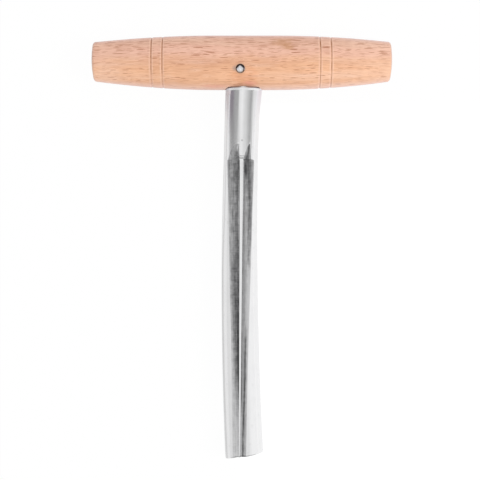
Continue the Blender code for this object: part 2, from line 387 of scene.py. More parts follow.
class NodeSheet:
    """Node tree that is being drawn up, with short ways to add and wire its nodes."""

    def __init__(self, tree: bpy.types.NodeTree) -> None:
        """Takes over a node tree."""
        self.tree = tree

    def add(self, kind: str, **settings: object) -> bpy.types.Node:
        """Adds a node.

        Args:
            kind: Node type.
            settings: Properties of the node to set.

        Returns:
            The new node.
        """
        node = self.tree.nodes.new(kind)
        for name, value in settings.items():
            setattr(node, name, value)
        return node

    def feed(self, socket: bpy.types.NodeSocket, value: object) -> None:
        """Wires an output into a socket, or sets the socket to a plain value.

        Args:
            socket: Socket to feed.
            value: Output or plain value.
        """
        if isinstance(value, bpy.types.NodeSocket):
            self.tree.links.new(value, socket)
        else:
            socket.default_value = value

    def math(self, operation: str, *values: object) -> bpy.types.NodeSocket:
        """Output of a Math node.

        Args:
            operation: Operation of the node.
            values: Values or outputs that it takes.

        Returns:
            The result.
        """
        node = self.add("ShaderNodeMath", operation=operation)
        for socket, value in zip(node.inputs, values):
            self.feed(socket, value)
        return node.outputs["Value"]

    def vector(self, operation: str, *values: object) -> bpy.types.NodeSocket:
        """Output of a Vector Math node.

        Args:
            operation: Operation of the node.
            values: Vectors or outputs that it takes.

        Returns:
            The result: a value for a length or distance, otherwise a vector.
        """
        node = self.add("ShaderNodeVectorMath", operation=operation)
        for socket, value in zip(node.inputs, values):
            self.feed(socket, value)
        return node.outputs["Value" if operation in ("LENGTH", "DISTANCE") else "Vector"]

    def remap(
        self, value: object, low: float, high: float, to_low: float, to_high: float
    ) -> bpy.types.NodeSocket:
        """Output of a smooth, clamped Map Range node.

        Args:
            value: Value or output to map.
            low: Start of the range.
            high: End of the range.
            to_low: Result at the start.
            to_high: Result at the end.

        Returns:
            The mapped output.
        """
        node = self.add("ShaderNodeMapRange", interpolation_type="SMOOTHSTEP", clamp=True)
        names = ("Value", "From Min", "From Max", "To Min", "To Max")
        for name, given in zip(names, (value, low, high, to_low, to_high)):
            self.feed(node.inputs[name], given)
        return node.outputs["Result"]

    def mix(self, share: object, first: object, second: object) -> bpy.types.NodeSocket:
        """Output of a colour Mix node.

        Args:
            share: How much of the second colour shows.
            first: Colour or output underneath.
            second: Colour or output on top.

        Returns:
            The mixed colour.
        """
        node = self.add("ShaderNodeMix", data_type="RGBA")
        self.feed(node.inputs["Factor"], share)
        for socket, value in ((node.inputs[6], first), (node.inputs[7], second)):
            self.feed(socket, (*value, 1.0) if isinstance(value, tuple) else value)
        return node.outputs[2]

    def tint(
        self, share: object, strength: float, first: object, second: object
    ) -> bpy.types.NodeSocket:
        """Colour with another one over it, as strong as a mask says times a strength.

        Args:
            share: Mask of the second colour.
            strength: How strong it is where the mask is full.
            first: Colour or output underneath.
            second: Colour or output on top.

        Returns:
            The tinted colour.
        """
        return self.mix(self.math("MULTIPLY", share, strength), first, second)

    def fade(self, share: object, low: object, high: object) -> bpy.types.NodeSocket:
        """Value between two values or outputs.

        Args:
            share: How far from the first to the second.
            low: First value or output.
            high: Second value or output.

        Returns:
            The value.
        """
        node = self.add("ShaderNodeMix", data_type="FLOAT")
        for index, value in ((0, share), (2, low), (3, high)):
            self.feed(node.inputs[index], value)
        return node.outputs[0]

    def away(self, value: object, middle: object) -> bpy.types.NodeSocket:
        """How far a value lies from a middle value."""
        return self.math("ABSOLUTE", self.math("SUBTRACT", value, middle))

    def front_reach(self, place: bpy.types.NodeSocket, middle: Span) -> bpy.types.NodeSocket:
        """Distance in metres from a place in the tool's front view."""
        return self.vector("DISTANCE", self.vector("MULTIPLY", place, (1.0, 1.0, 0.0)), (*middle, 0.0))

    def stretch(self, place: bpy.types.NodeSocket, cell: Place) -> bpy.types.NodeSocket:
        """Coordinates scaled so that one unit is a cell of this size in metres."""
        return self.vector("DIVIDE", place, cell)

    def noise(
        self, place: bpy.types.NodeSocket, detail: float = 2.0, roughness: float = 0.5
    ) -> bpy.types.NodeSocket:
        """Value of a Noise Texture at scale 1.

        Args:
            place: Coordinates.
            detail: Layers of finer noise.
            roughness: How strong the finer layers are.

        Returns:
            The value.
        """
        node = self.add("ShaderNodeTexNoise")
        settings = (("Vector", place), ("Scale", 1.0), ("Detail", detail), ("Roughness", roughness))
        for name, value in settings:
            self.feed(node.inputs[name], value)
        return node.outputs["Fac"]

    def cells(self, place: bpy.types.NodeSocket) -> bpy.types.Node:
        """Voronoi node at scale 1 with fully scattered cells.

        Args:
            place: Coordinates.

        Returns:
            The node.
        """
        node = self.add("ShaderNodeTexVoronoi", feature="F1")
        self.feed(node.inputs["Vector"], place)
        self.feed(node.inputs["Scale"], 1.0)
        return node

    def axes(self, place: bpy.types.NodeSocket) -> tuple[bpy.types.NodeSocket, ...]:
        """Parts of a vector output.

        Args:
            place: Vector to take apart.

        Returns:
            Its X, Y and Z.
        """
        node = self.add("ShaderNodeSeparateXYZ")
        self.feed(node.inputs[0], place)
        return tuple(node.outputs)


class Effects:
    """Node groups that more than one finish uses, each built once."""

    LINES: Range = (0.3, 0.7, 0.0, 1.0)
    STRONG_LINES: Range = (0.6, 0.72, 0.0, 1.0)
    SMUDGE: Range = (0.45, 0.7, 0.0, 1.0)
    SPECK: Range = (0.1, 0.2, 1.0, 0.0)
    _made: dict[str, bpy.types.NodeTree] = {}

    @classmethod
    def _new(cls, name: str, inputs: Sequence[tuple[str, str]], outputs: Sequence[str]) -> NodeSheet:
        """Starts a group.

        Args:
            name: Name of the group.
            inputs: Names and socket types of its inputs.
            outputs: Names of its value outputs.

        Returns:
            The sheet to draw the group on.
        """
        tree = bpy.data.node_groups.new(name, "ShaderNodeTree")
        for label, kind in inputs:
            tree.interface.new_socket(name=label, in_out="INPUT", socket_type=kind)
        for label in outputs:
            tree.interface.new_socket(name=label, in_out="OUTPUT", socket_type="NodeSocketFloat")
        cls._made[name] = tree
        return NodeSheet(tree)

    @staticmethod
    def _place(sheet: NodeSheet, group: bpy.types.NodeTree, values: dict[str, object]) -> bpy.types.Node:
        """Puts a group into a material.

        Args:
            sheet: Sheet of the material.
            group: Group to place.
            values: Its inputs by name.

        Returns:
            The group node.
        """
        node = sheet.add("ShaderNodeGroup", node_tree=group)
        for name, value in values.items():
            sheet.feed(node.inputs[name], value)
        return node

    @classmethod
    def drawn_lines(
        cls, sheet: NodeSheet, place: bpy.types.NodeSocket, cell: Place, wander: float
    ) -> bpy.types.Node:
        """Fine lines drawn out along one direction: wood fibre, polishing and draw marks.

        Args:
            sheet: Sheet of the material.
            place: Coordinates of the material.
            cell: Spread of one line in metres.
            wander: How far the lines wander, in cells.

        Returns:
            The group node, with all lines and the strong ones alone.
        """
        group = cls._made.get("drawn_lines") or cls._build_lines()
        return cls._place(sheet, group, {"Place": place, "Cell": cell, "Wander": wander})

    @classmethod
    def _build_lines(cls) -> bpy.types.NodeTree:
        """Builds the group of drawn lines.

        Returns:
            The group.
        """
        sheet = cls._new(
            "drawn_lines",
            (("Place", "NodeSocketVector"), ("Cell", "NodeSocketVector"), ("Wander", "NodeSocketFloat")),
            ("Lines", "Strong Lines"),
        )
        given = sheet.add("NodeGroupInput")
        made = sheet.add("NodeGroupOutput")
        scaled = sheet.vector("DIVIDE", given.outputs["Place"], given.outputs["Cell"])
        drift = sheet.math("MULTIPLY", sheet.noise(scaled, 0.0), given.outputs["Wander"])
        lines = sheet.noise(sheet.vector("ADD", scaled, drift), 4.0, 0.6)
        sheet.feed(made.inputs["Lines"], sheet.remap(lines, *cls.LINES))
        sheet.feed(made.inputs["Strong Lines"], sheet.remap(lines, *cls.STRONG_LINES))
        return sheet.tree

    @classmethod
    def handling(
        cls, sheet: NodeSheet, place: bpy.types.NodeSocket, smudge_size: float, speck_size: float
    ) -> bpy.types.Node:
        """Soft smudges and small specks from handling.

        Args:
            sheet: Sheet of the material.
            place: Coordinates of the material.
            smudge_size: Spread of a smudge in metres.
            speck_size: Spread of a speck's cell in metres.

        Returns:
            The group node, with the smudges and the specks.
        """
        group = cls._made.get("handling") or cls._build_handling()
        values = {"Place": place, "Smudge Size": smudge_size, "Speck Size": speck_size}
        return cls._place(sheet, group, values)

    @classmethod
    def _build_handling(cls) -> bpy.types.NodeTree:
        """Builds the group of smudges and specks.

        Returns:
            The group.
        """
        sheet = cls._new(
            "handling",
            (
                ("Place", "NodeSocketVector"),
                ("Smudge Size", "NodeSocketFloat"),
                ("Speck Size", "NodeSocketFloat"),
            ),
            ("Smudge", "Specks"),
        )
        given = sheet.add("NodeGroupInput")
        made = sheet.add("NodeGroupOutput")
        smudges, specks = (
            sheet.vector("DIVIDE", given.outputs["Place"], given.outputs[size])
            for size in ("Smudge Size", "Speck Size")
        )
        smudge = sheet.remap(sheet.noise(smudges, 3.0), *cls.SMUDGE)
        speck = sheet.remap(sheet.cells(specks).outputs["Distance"], *cls.SPECK)
        sheet.feed(made.inputs["Smudge"], smudge)
        sheet.feed(made.inputs["Specks"], speck)
        return sheet.tree


@dataclass(frozen=True)
class ToolLay:
    """How the tool lies on the bench: where the middle of the handle is and how far the steel dips."""

    middle: Place
    tilt: float

    def settle(self, piece: bpy.types.Object) -> None:
        """Lays a piece down and moves its place into its mesh.

        Args:
            piece: Piece in the tool's frame.
        """
        Bench.pick(piece)
        piece.rotation_euler = (self.tilt, 0.0, 0.0)
        piece.location = self.middle
        bpy.ops.object.transform_apply(location=True, rotation=True, scale=True)

    def coordinates(self, sheet: NodeSheet) -> bpy.types.NodeSocket:
        """Object coordinates brought back into the tool's own frame.

        Args:
            sheet: Sheet of the material.

        Returns:
            The coordinates.
        """
        given = sheet.add("ShaderNodeTexCoord")
        moved = sheet.add("ShaderNodeMapping", vector_type="TEXTURE")
        sheet.feed(moved.inputs["Vector"], given.outputs["Object"])
        sheet.feed(moved.inputs["Location"], self.middle)
        sheet.feed(moved.inputs["Rotation"], (self.tilt, 0.0, 0.0))
        return moved.outputs["Vector"]


@dataclass(frozen=True)
class Spot:
    """Round spot of another colour, strongest in its middle and gone at its radius."""

    middle: Place
    radius: float
    colour: Colour
    strength: float


class Finish:
    """Start of every finish: a material with its shader and the tool's coordinates."""

    name: str

    def _start(
        self, lay: ToolLay
    ) -> tuple[bpy.types.Material, NodeSheet, bpy.types.Node, bpy.types.NodeSocket]:
        """Makes the material.

        Args:
            lay: How the tool lies.

        Returns:
            The material, its sheet, its shader and the coordinates.
        """
        material = bpy.data.materials.new(self.name)
        material.use_nodes = True
        sheet = NodeSheet(material.node_tree)
        shader = material.node_tree.nodes["Principled BSDF"]
        return material, sheet, shader, lay.coordinates(sheet)

    @staticmethod
    def _spotted(
        sheet: NodeSheet, colour: bpy.types.NodeSocket, place: bpy.types.NodeSocket, spot: Spot
    ) -> bpy.types.NodeSocket:
        """Adds a spot to a colour.

        Args:
            sheet: Sheet of the material.
            colour: Colour without the spot.
            place: Coordinates of the tool.
            spot: The spot.

        Returns:
            The spotted colour.
        """
        reach = sheet.vector("DISTANCE", place, spot.middle)
        return sheet.mix(sheet.remap(reach, 0.0, spot.radius, spot.strength, 0.0), colour, spot.colour)

    @staticmethod
    def _bump(
        sheet: NodeSheet, shader: bpy.types.Node, height: object, strength: float, distance: float
    ) -> None:
        """Wires a height into the shader's normal.

        Args:
            sheet: Sheet of the material.
            shader: Shader to bump.
            height: Height output.
            strength: Strength of the bump.
            distance: Height of a full step in metres.
        """
        bump = sheet.add("ShaderNodeBump")
        for name, value in (("Strength", strength), ("Distance", distance), ("Height", height)):
            sheet.feed(bump.inputs[name], value)
        sheet.feed(shader.inputs["Normal"], bump.outputs["Normal"])


@dataclass(frozen=True)
class Patch:
    """Ragged patch of another colour, with its middle and its half sizes."""

    middle: Place
    size: Place
    colour: Colour
    strength: float


@dataclass(frozen=True)
class FleckKind:
    """One kind of ray fleck: its cell, its reach in the warm and the rosy half, and its luck."""

    cell: Place
    reach: Span
    luck: Range = (0.0, 1.0, 0.35, 1.0)  # strength by chance


@dataclass(frozen=True)
class BareBeech(Finish):
    """Turned beech without lacquer: fine fibre, dark ray flecks, a stain, tool-burnt grooves darkened with
    painted shade, painted rim light and a painted reflection.
    """

    name: str = "bare_beech"
    warm: Colour = (0.865, 0.487, 0.290)
    rosy: Colour = (0.84, 0.492, 0.362)
    pale: Colour = (0.94, 0.63, 0.47)
    pink: Colour = (0.90, 0.545, 0.415)
    fleck: Colour = (0.38, 0.12, 0.045)
    burnt: Colour = (0.36, 0.125, 0.04)
    end_grain: Colour = (0.60, 0.44, 0.36)
    # Painted reflection: the wood's colour as the steel mirrors it.
    mirrored: Colour = (0.80, 0.74, 0.79)
    dust: Colour = (0.72, 0.85, 1.0)
    # Painted rim light on the top and underside.
    painted_rim_light: Colour = (0.93, 0.66, 0.60)
    halo: Colour = (0.42, 0.26, 0.18)
    charred: Colour = (0.20, 0.085, 0.04)
    oil: Patch = Patch((0.0010, -0.0058, 0.008), (0.0085, 0.0055, 0.009), (0.82, 0.40, 0.21), 0.95)
    stains: tuple[Patch, ...] = (
        Patch((0.0148, 0.0066, 0.0074), (0.0062, 0.0032, 0.007), (0.50, 0.22, 0.08), 0.55),
        Patch((0.0168, 0.0047, 0.0086), (0.0034, 0.0024, 0.006), (0.50, 0.22, 0.08), 0.55),
        Patch((0.0028, -0.0080, 0.0058), (0.0042, 0.0014, 0.005), (0.82, 0.36, 0.26), 0.65),
        Patch((-0.0100, -0.0090, 0.0042), (0.0075, 0.0014, 0.004), (0.82, 0.36, 0.26), 0.45),
    )
    ragged_cell: Place = (0.002, 0.0009, 0.002)
    ragged: float = 0.9
    patch_edge: Range = (0.6, 1.3, 1.0, 0.0)
    soot: Spot = Spot((-0.0024, -0.0029, 0.0095), 0.0016, (0.33, 0.24, 0.21), 0.75)
    chip: Spot = Spot((-0.0547, 0.0029, 0.0062), 0.0009, (0.36, 0.125, 0.04), 0.75)
    bore_place: Span = (-0.0005, -0.003)
    bore_halo: Range = (0.0017, 0.0025, 0.35, 0.0)
    bore_edge: Range = (0.00163, 0.00176, 1.0, 0.0)
    # Charring of the hole's wall, painted darker towards the top as shade.
    bore_char_and_top_shade: Range = (-0.0038, -0.0021, 0.3, 0.9)
    half_edge_cell: Place = (0.020, 0.004, 0.006)
    half_edge_wander: float = 0.010
    half_edge: Range = (0.0015, 0.0095, 0.0, 1.0)
    drift_cell: Place = (0.022, 0.009, 0.012)
    drift: Range = (0.2, 0.8, -0.0006, 0.0006)
    fibre_cell: Place = (0.010, 0.00027, 0.0006)
    fibre_wander: float = 0.5
    fibre_dark: Range = (0.0, 0.8, 0.24, 0.0)
    fibre_pale: float = 0.55
    fibre_roughness: Range = (0.0, 1.0, 0.66, 0.54)
    fibre_height: float = 0.5
    band_cell: Place = (0.055, 0.0042, 0.0075)
    band_pale: Range = (0.46, 0.72, 0.0, 0.5)
    band_dark: Range = (0.30, 0.50, 0.13, 0.0)
    mottle_cell: Place = (0.011, 0.0018, 0.003)
    mottle_pale: Range = (0.5, 0.75, 0.0, 0.35)
    dark_rings: Span = (0.0071, -0.0008)
    dark_ring: Range = (0.0, 0.0013, 0.09, 0.0)
    pink_ring_place: float = 0.0030
    pink_ring: Range = (0.0, 0.0026, 0.55, 0.0)
    dark_flecks: tuple[FleckKind, ...] = (
        FleckKind((0.0040, 0.00022, 0.0011), (0.33, 0.43)),
        FleckKind((0.0105, 0.00026, 0.0018), (0.20, 0.36)),
        FleckKind((0.0052, 0.00036, 0.0015), (0.34, 0.44), (0.66, 0.74, 0.0, 1.0)),
    )
    dark_fleck_strength: float = 0.9
    faint_flecks: FleckKind = FleckKind((0.0044, 0.00022, 0.0009), (0.46, 0.46))
    faint_fleck_strength: float = 0.25
    fleck_sizes: Range = (0.0, 1.0, 0.3, 1.0)
    fleck_edge: Range = (0.0, 0.08, 0.0, 1.0)
    groove_places: tuple[float, ...] = (-0.0328, -0.0288, 0.0285, 0.0325)
    groove_half_width: float = 0.00028
    groove_cell: Place = (0.020, 0.0016, 0.006)
    groove_lip: Range = (3.4, 1.6, 0.0, 0.8)  # by distance in half widths
    # Darkening of the grooves: a burn line and painted shade in them.
    groove_burn_and_shade: Range = (0.4, 1.2, 1.0, 0.0)  # likewise
    groove_burn_and_shade_by_height: Range = (-0.008, 0.006, 0.55, 0.9)
    groove_burn_and_shade_gain: float = 1.7
    right_pale: Range = (0.030, 0.058, 0.0, 0.2)
    left_pale: Range = (-0.036, -0.056, 0.0, 0.2)
    end_grain_from: Range = (0.0536, 0.055, 0.0, 0.75)
    painted_rim_light_from: Range = (0.66, 0.22, 0.0, 0.45)
    mirrored_strength: float = 0.7
    sheen: float = 0.34
    sheen_roughness: float = 0.3
    smudge_size: float = 0.012
    speck_size: float = 0.004
    smudge_strength: float = 0.05
    bump_strength: float = 0.15
    bump_height: float = 0.00006

    def _wavy(self, sheet: NodeSheet, place: bpy.types.NodeSocket) -> bpy.types.NodeSocket:
        """Coordinates whose grain wanders a few degrees off the handle's axis.

        Args:
            sheet: Sheet of the material.
            place: Coordinates of the tool.

        Returns:
            The wandering coordinates.
        """
        drift = sheet.noise(sheet.stretch(place, self.drift_cell), 1.0)
        lift = sheet.add("ShaderNodeCombineXYZ")
        sheet.feed(lift.inputs["Y"], sheet.remap(drift, *self.drift))
        return sheet.vector("ADD", place, lift.outputs["Vector"])

    def _flecks(
        self,
        sheet: NodeSheet,
        place: bpy.types.NodeSocket,
        upper: bpy.types.NodeSocket,
        kind: FleckKind,
    ) -> bpy.types.NodeSocket:
        """Spindle-shaped ray flecks.

        Args:
            sheet: Sheet of the material.
            place: Coordinates that follow the grain.
            upper: How far into the rosy half a point lies.
            kind: Kind of fleck.

        Returns:
            Mask of the flecks.
        """
        cells = sheet.cells(sheet.stretch(place, kind.cell))
        chance, luck, _ = sheet.axes(cells.outputs["Color"])
        reach = sheet.remap(upper, 0.0, 1.0, *kind.reach)
        size = sheet.math("MULTIPLY", reach, sheet.remap(chance, *self.fleck_sizes))
        gap = sheet.math("SUBTRACT", size, cells.outputs["Distance"])
        depth = sheet.remap(gap, *self.fleck_edge)
        return sheet.math("MULTIPLY", depth, sheet.remap(luck, *kind.luck))

    def _patched(
        self, sheet: NodeSheet, wood: bpy.types.NodeSocket, place: bpy.types.NodeSocket, patch: Patch
    ) -> bpy.types.NodeSocket:
        """Adds a ragged patch.

        Args:
            sheet: Sheet of the material.
            wood: Colour of the wood.
            place: Coordinates of the tool or of its grain.
            patch: The patch.

        Returns:
            The colour with the patch.
        """
        spot = sheet.add("ShaderNodeMapping", vector_type="TEXTURE")
        for name, value in (("Vector", place), ("Location", patch.middle), ("Scale", patch.size)):
            sheet.feed(spot.inputs[name], value)
        ragged = sheet.noise(sheet.stretch(place, self.ragged_cell), 3.0)
        off = sheet.vector("LENGTH", spot.outputs["Vector"])
        reach = sheet.math("ADD", off, sheet.math("MULTIPLY", ragged, self.ragged))
        return sheet.tint(sheet.remap(reach, *self.patch_edge), patch.strength, wood, patch.colour)

    def _from_groove(self, sheet: NodeSheet, across: bpy.types.NodeSocket) -> bpy.types.NodeSocket:
        """Distance along the handle to the nearest groove.

        Args:
            sheet: Sheet of the material.
            across: Place along the handle.

        Returns:
            The distance in half widths of a groove.
        """
        first, *others = (sheet.away(across, groove) for groove in self.groove_places)
        for other in others:
            first = sheet.math("MINIMUM", first, other)
        return sheet.math("DIVIDE", first, self.groove_half_width)

    def _fibre_colour(
        self, sheet: NodeSheet, place: bpy.types.NodeSocket, upper: bpy.types.NodeSocket
    ) -> tuple[bpy.types.NodeSocket, bpy.types.NodeSocket]:
        """Colour of clean wood with its growth rings, bands and fibre.

        Args:
            sheet: Sheet of the material.
            place: Coordinates that follow the grain.
            upper: How far into the rosy half a point lies.

        Returns:
            The colour and the fibre's relief.
        """
        lines = Effects.drawn_lines(sheet, place, self.fibre_cell, self.fibre_wander)
        fibre = lines.outputs["Lines"]
        band = sheet.noise(sheet.stretch(place, self.band_cell), 2.0)
        mottle = sheet.noise(sheet.stretch(place, self.mottle_cell), 2.0)
        wood = self._patched(sheet, sheet.mix(upper, self.warm, self.rosy), place, self.oil)
        wood = sheet.mix(sheet.remap(band, *self.band_pale), wood, self.pale)
        wood = sheet.mix(sheet.remap(band, *self.band_dark), wood, self.fleck)
        wood = sheet.mix(sheet.remap(mottle, *self.mottle_pale), wood, self.pale)
        wood = sheet.mix(sheet.remap(fibre, *self.fibre_dark), wood, self.fleck)
        wood = sheet.tint(lines.outputs["Strong Lines"], self.fibre_pale, wood, self.pale)
        _, height, _ = sheet.axes(place)
        for ring in self.dark_rings:
            near = sheet.remap(sheet.away(height, ring), *self.dark_ring)
            wood = sheet.mix(near, wood, self.fleck)
        near = sheet.remap(sheet.away(height, self.pink_ring_place), *self.pink_ring)
        return sheet.mix(near, wood, self.pink), fibre

    def _flecked(
        self,
        sheet: NodeSheet,
        wood: bpy.types.NodeSocket,
        place: bpy.types.NodeSocket,
        upper: bpy.types.NodeSocket,
    ) -> tuple[bpy.types.NodeSocket, bpy.types.NodeSocket]:
        """Adds faint and dark ray flecks.

        Args:
            sheet: Sheet of the material.
            wood: Colour of the wood.
            place: Coordinates that follow the grain.
            upper: How far into the rosy half a point lies.

        Returns:
            The flecked colour and the mask of the dark flecks.
        """
        faint = self._flecks(sheet, place, upper, self.faint_flecks)
        dark, *others = (self._flecks(sheet, place, upper, kind) for kind in self.dark_flecks)
        for other in others:
            dark = sheet.math("MAXIMUM", dark, other)
        wood = sheet.tint(faint, self.faint_fleck_strength, wood, self.fleck)
        return sheet.tint(dark, self.dark_fleck_strength, wood, self.fleck), dark

    def _grooved(
        self, sheet: NodeSheet, wood: bpy.types.NodeSocket, place: bpy.types.NodeSocket
    ) -> bpy.types.NodeSocket:
        """Darkens the grooves with a burn line and painted shade, darker towards the top, between pale
        lips.

        Args:
            sheet: Sheet of the material.
            wood: Colour of the wood.
            place: Coordinates of the tool.

        Returns:
            The colour with the grooves.
        """
        across, up, _ = sheet.axes(place)
        groove = self._from_groove(sheet, across)
        uneven = sheet.noise(sheet.stretch(place, self.groove_cell), 2.0)
        lip = sheet.remap(groove, *self.groove_lip)
        wood = sheet.mix(sheet.math("MULTIPLY", lip, uneven), wood, self.pale)
        # Burn line and painted shade in the grooves, darker towards the top.
        strength = sheet.math("MULTIPLY", sheet.remap(up, *self.groove_burn_and_shade_by_height), uneven)
        burn_and_shade = sheet.math("MULTIPLY", sheet.remap(groove, *self.groove_burn_and_shade), strength)
        return sheet.tint(burn_and_shade, self.groove_burn_and_shade_gain, wood, self.burnt)

    def _marked(
        self, sheet: NodeSheet, wood: bpy.types.NodeSocket, place: bpy.types.NodeSocket
    ) -> bpy.types.NodeSocket:
        """Adds stains, the paler ends, the end grain, a chip, and the soot, halo and charring by the pin,
        the charring painted darker towards the top of the hole as shade.

        Args:
            sheet: Sheet of the material.
            wood: Colour of the wood.
            place: Coordinates of the tool.

        Returns:
            The marked colour.
        """
        across, up, _ = sheet.axes(place)
        for patch in self.stains:
            wood = self._patched(sheet, wood, place, patch)
        wood = sheet.mix(sheet.remap(across, *self.right_pale), wood, self.pale)
        wood = sheet.mix(sheet.remap(across, *self.left_pale), wood, self.pale)
        end = sheet.remap(sheet.math("ABSOLUTE", across), *self.end_grain_from)
        wood = sheet.mix(end, wood, self.end_grain)
        for spot in (self.soot, self.chip):
            wood = self._spotted(sheet, wood, place, spot)
        bore = sheet.front_reach(place, self.bore_place)
        wood = sheet.mix(sheet.remap(bore, *self.bore_halo), wood, self.halo)
        # Charred wall of the hole, painted darker towards its top as the shade in the gap above the pin.
        inside = sheet.remap(bore, *self.bore_edge)
        burnt = sheet.math("MULTIPLY", inside, sheet.remap(up, *self.bore_char_and_top_shade))
        return sheet.mix(burnt, wood, self.charred)

    def _rim_lit(
        self, sheet: NodeSheet, wood: bpy.types.NodeSocket, place: bpy.types.NodeSocket
    ) -> bpy.types.NodeSocket:
        """Paints rim light: pales the wood where it turns away to the top and the underside.

        Args:
            sheet: Sheet of the material.
            wood: Colour of the wood.
            place: Coordinates of the tool.

        Returns:
            The colour with painted rim light.
        """
        _, up, front = sheet.axes(place)
        square = sheet.math("ADD", sheet.math("POWER", up, 2.0), sheet.math("POWER", front, 2.0))
        facing = sheet.math("DIVIDE", sheet.math("ABSOLUTE", front), sheet.math("SQRT", square))
        # Painted rim light where the wood turns away from the front.
        return sheet.mix(sheet.remap(facing, *self.painted_rim_light_from), wood, self.painted_rim_light)

    def material(self, lay: ToolLay) -> bpy.types.Material:
        """Draws up the material.

        Args:
            lay: How the tool lies.

        Returns:
            The finished material.
        """
        material, sheet, shader, place = self._start(lay)
        sheet.feed(shader.inputs["Sheen Weight"], self.sheen)
        sheet.feed(shader.inputs["Sheen Roughness"], self.sheen_roughness)
        sheet.feed(shader.inputs["Sheen Tint"], (*self.dust, 1.0))
        _, up, _ = sheet.axes(place)
        grain = self._wavy(sheet, place)
        edge = sheet.noise(sheet.stretch(place, self.half_edge_cell), 2.0)
        upper = sheet.math("ADD", up, sheet.math("MULTIPLY", edge, self.half_edge_wander))
        upper = sheet.remap(upper, *self.half_edge)
        wood, fibre = self._fibre_colour(sheet, grain, upper)
        wood, flecks = self._flecked(sheet, wood, grain, upper)
        soil = Effects.handling(sheet, place, self.smudge_size, self.speck_size)
        wood = sheet.tint(soil.outputs["Smudge"], self.smudge_strength, wood, self.burnt)
        # Grooves, then painted rim light over them.
        wood = self._rim_lit(sheet, self._grooved(sheet, wood, place), place)
        # Painted reflection: in glossy rays the wood turns a pale lavender grey.
        path = sheet.add("ShaderNodeLightPath")
        wood = sheet.tint(path.outputs["Is Glossy Ray"], self.mirrored_strength, wood, self.mirrored)
        sheet.feed(shader.inputs["Base Color"], self._marked(sheet, wood, place))
        sheet.feed(shader.inputs["Roughness"], sheet.remap(fibre, *self.fibre_roughness))
        height = sheet.math("SUBTRACT", sheet.math("MULTIPLY", fibre, self.fibre_height), flecks)
        self._bump(sheet, shader, height, self.bump_strength, self.bump_height)
        return material


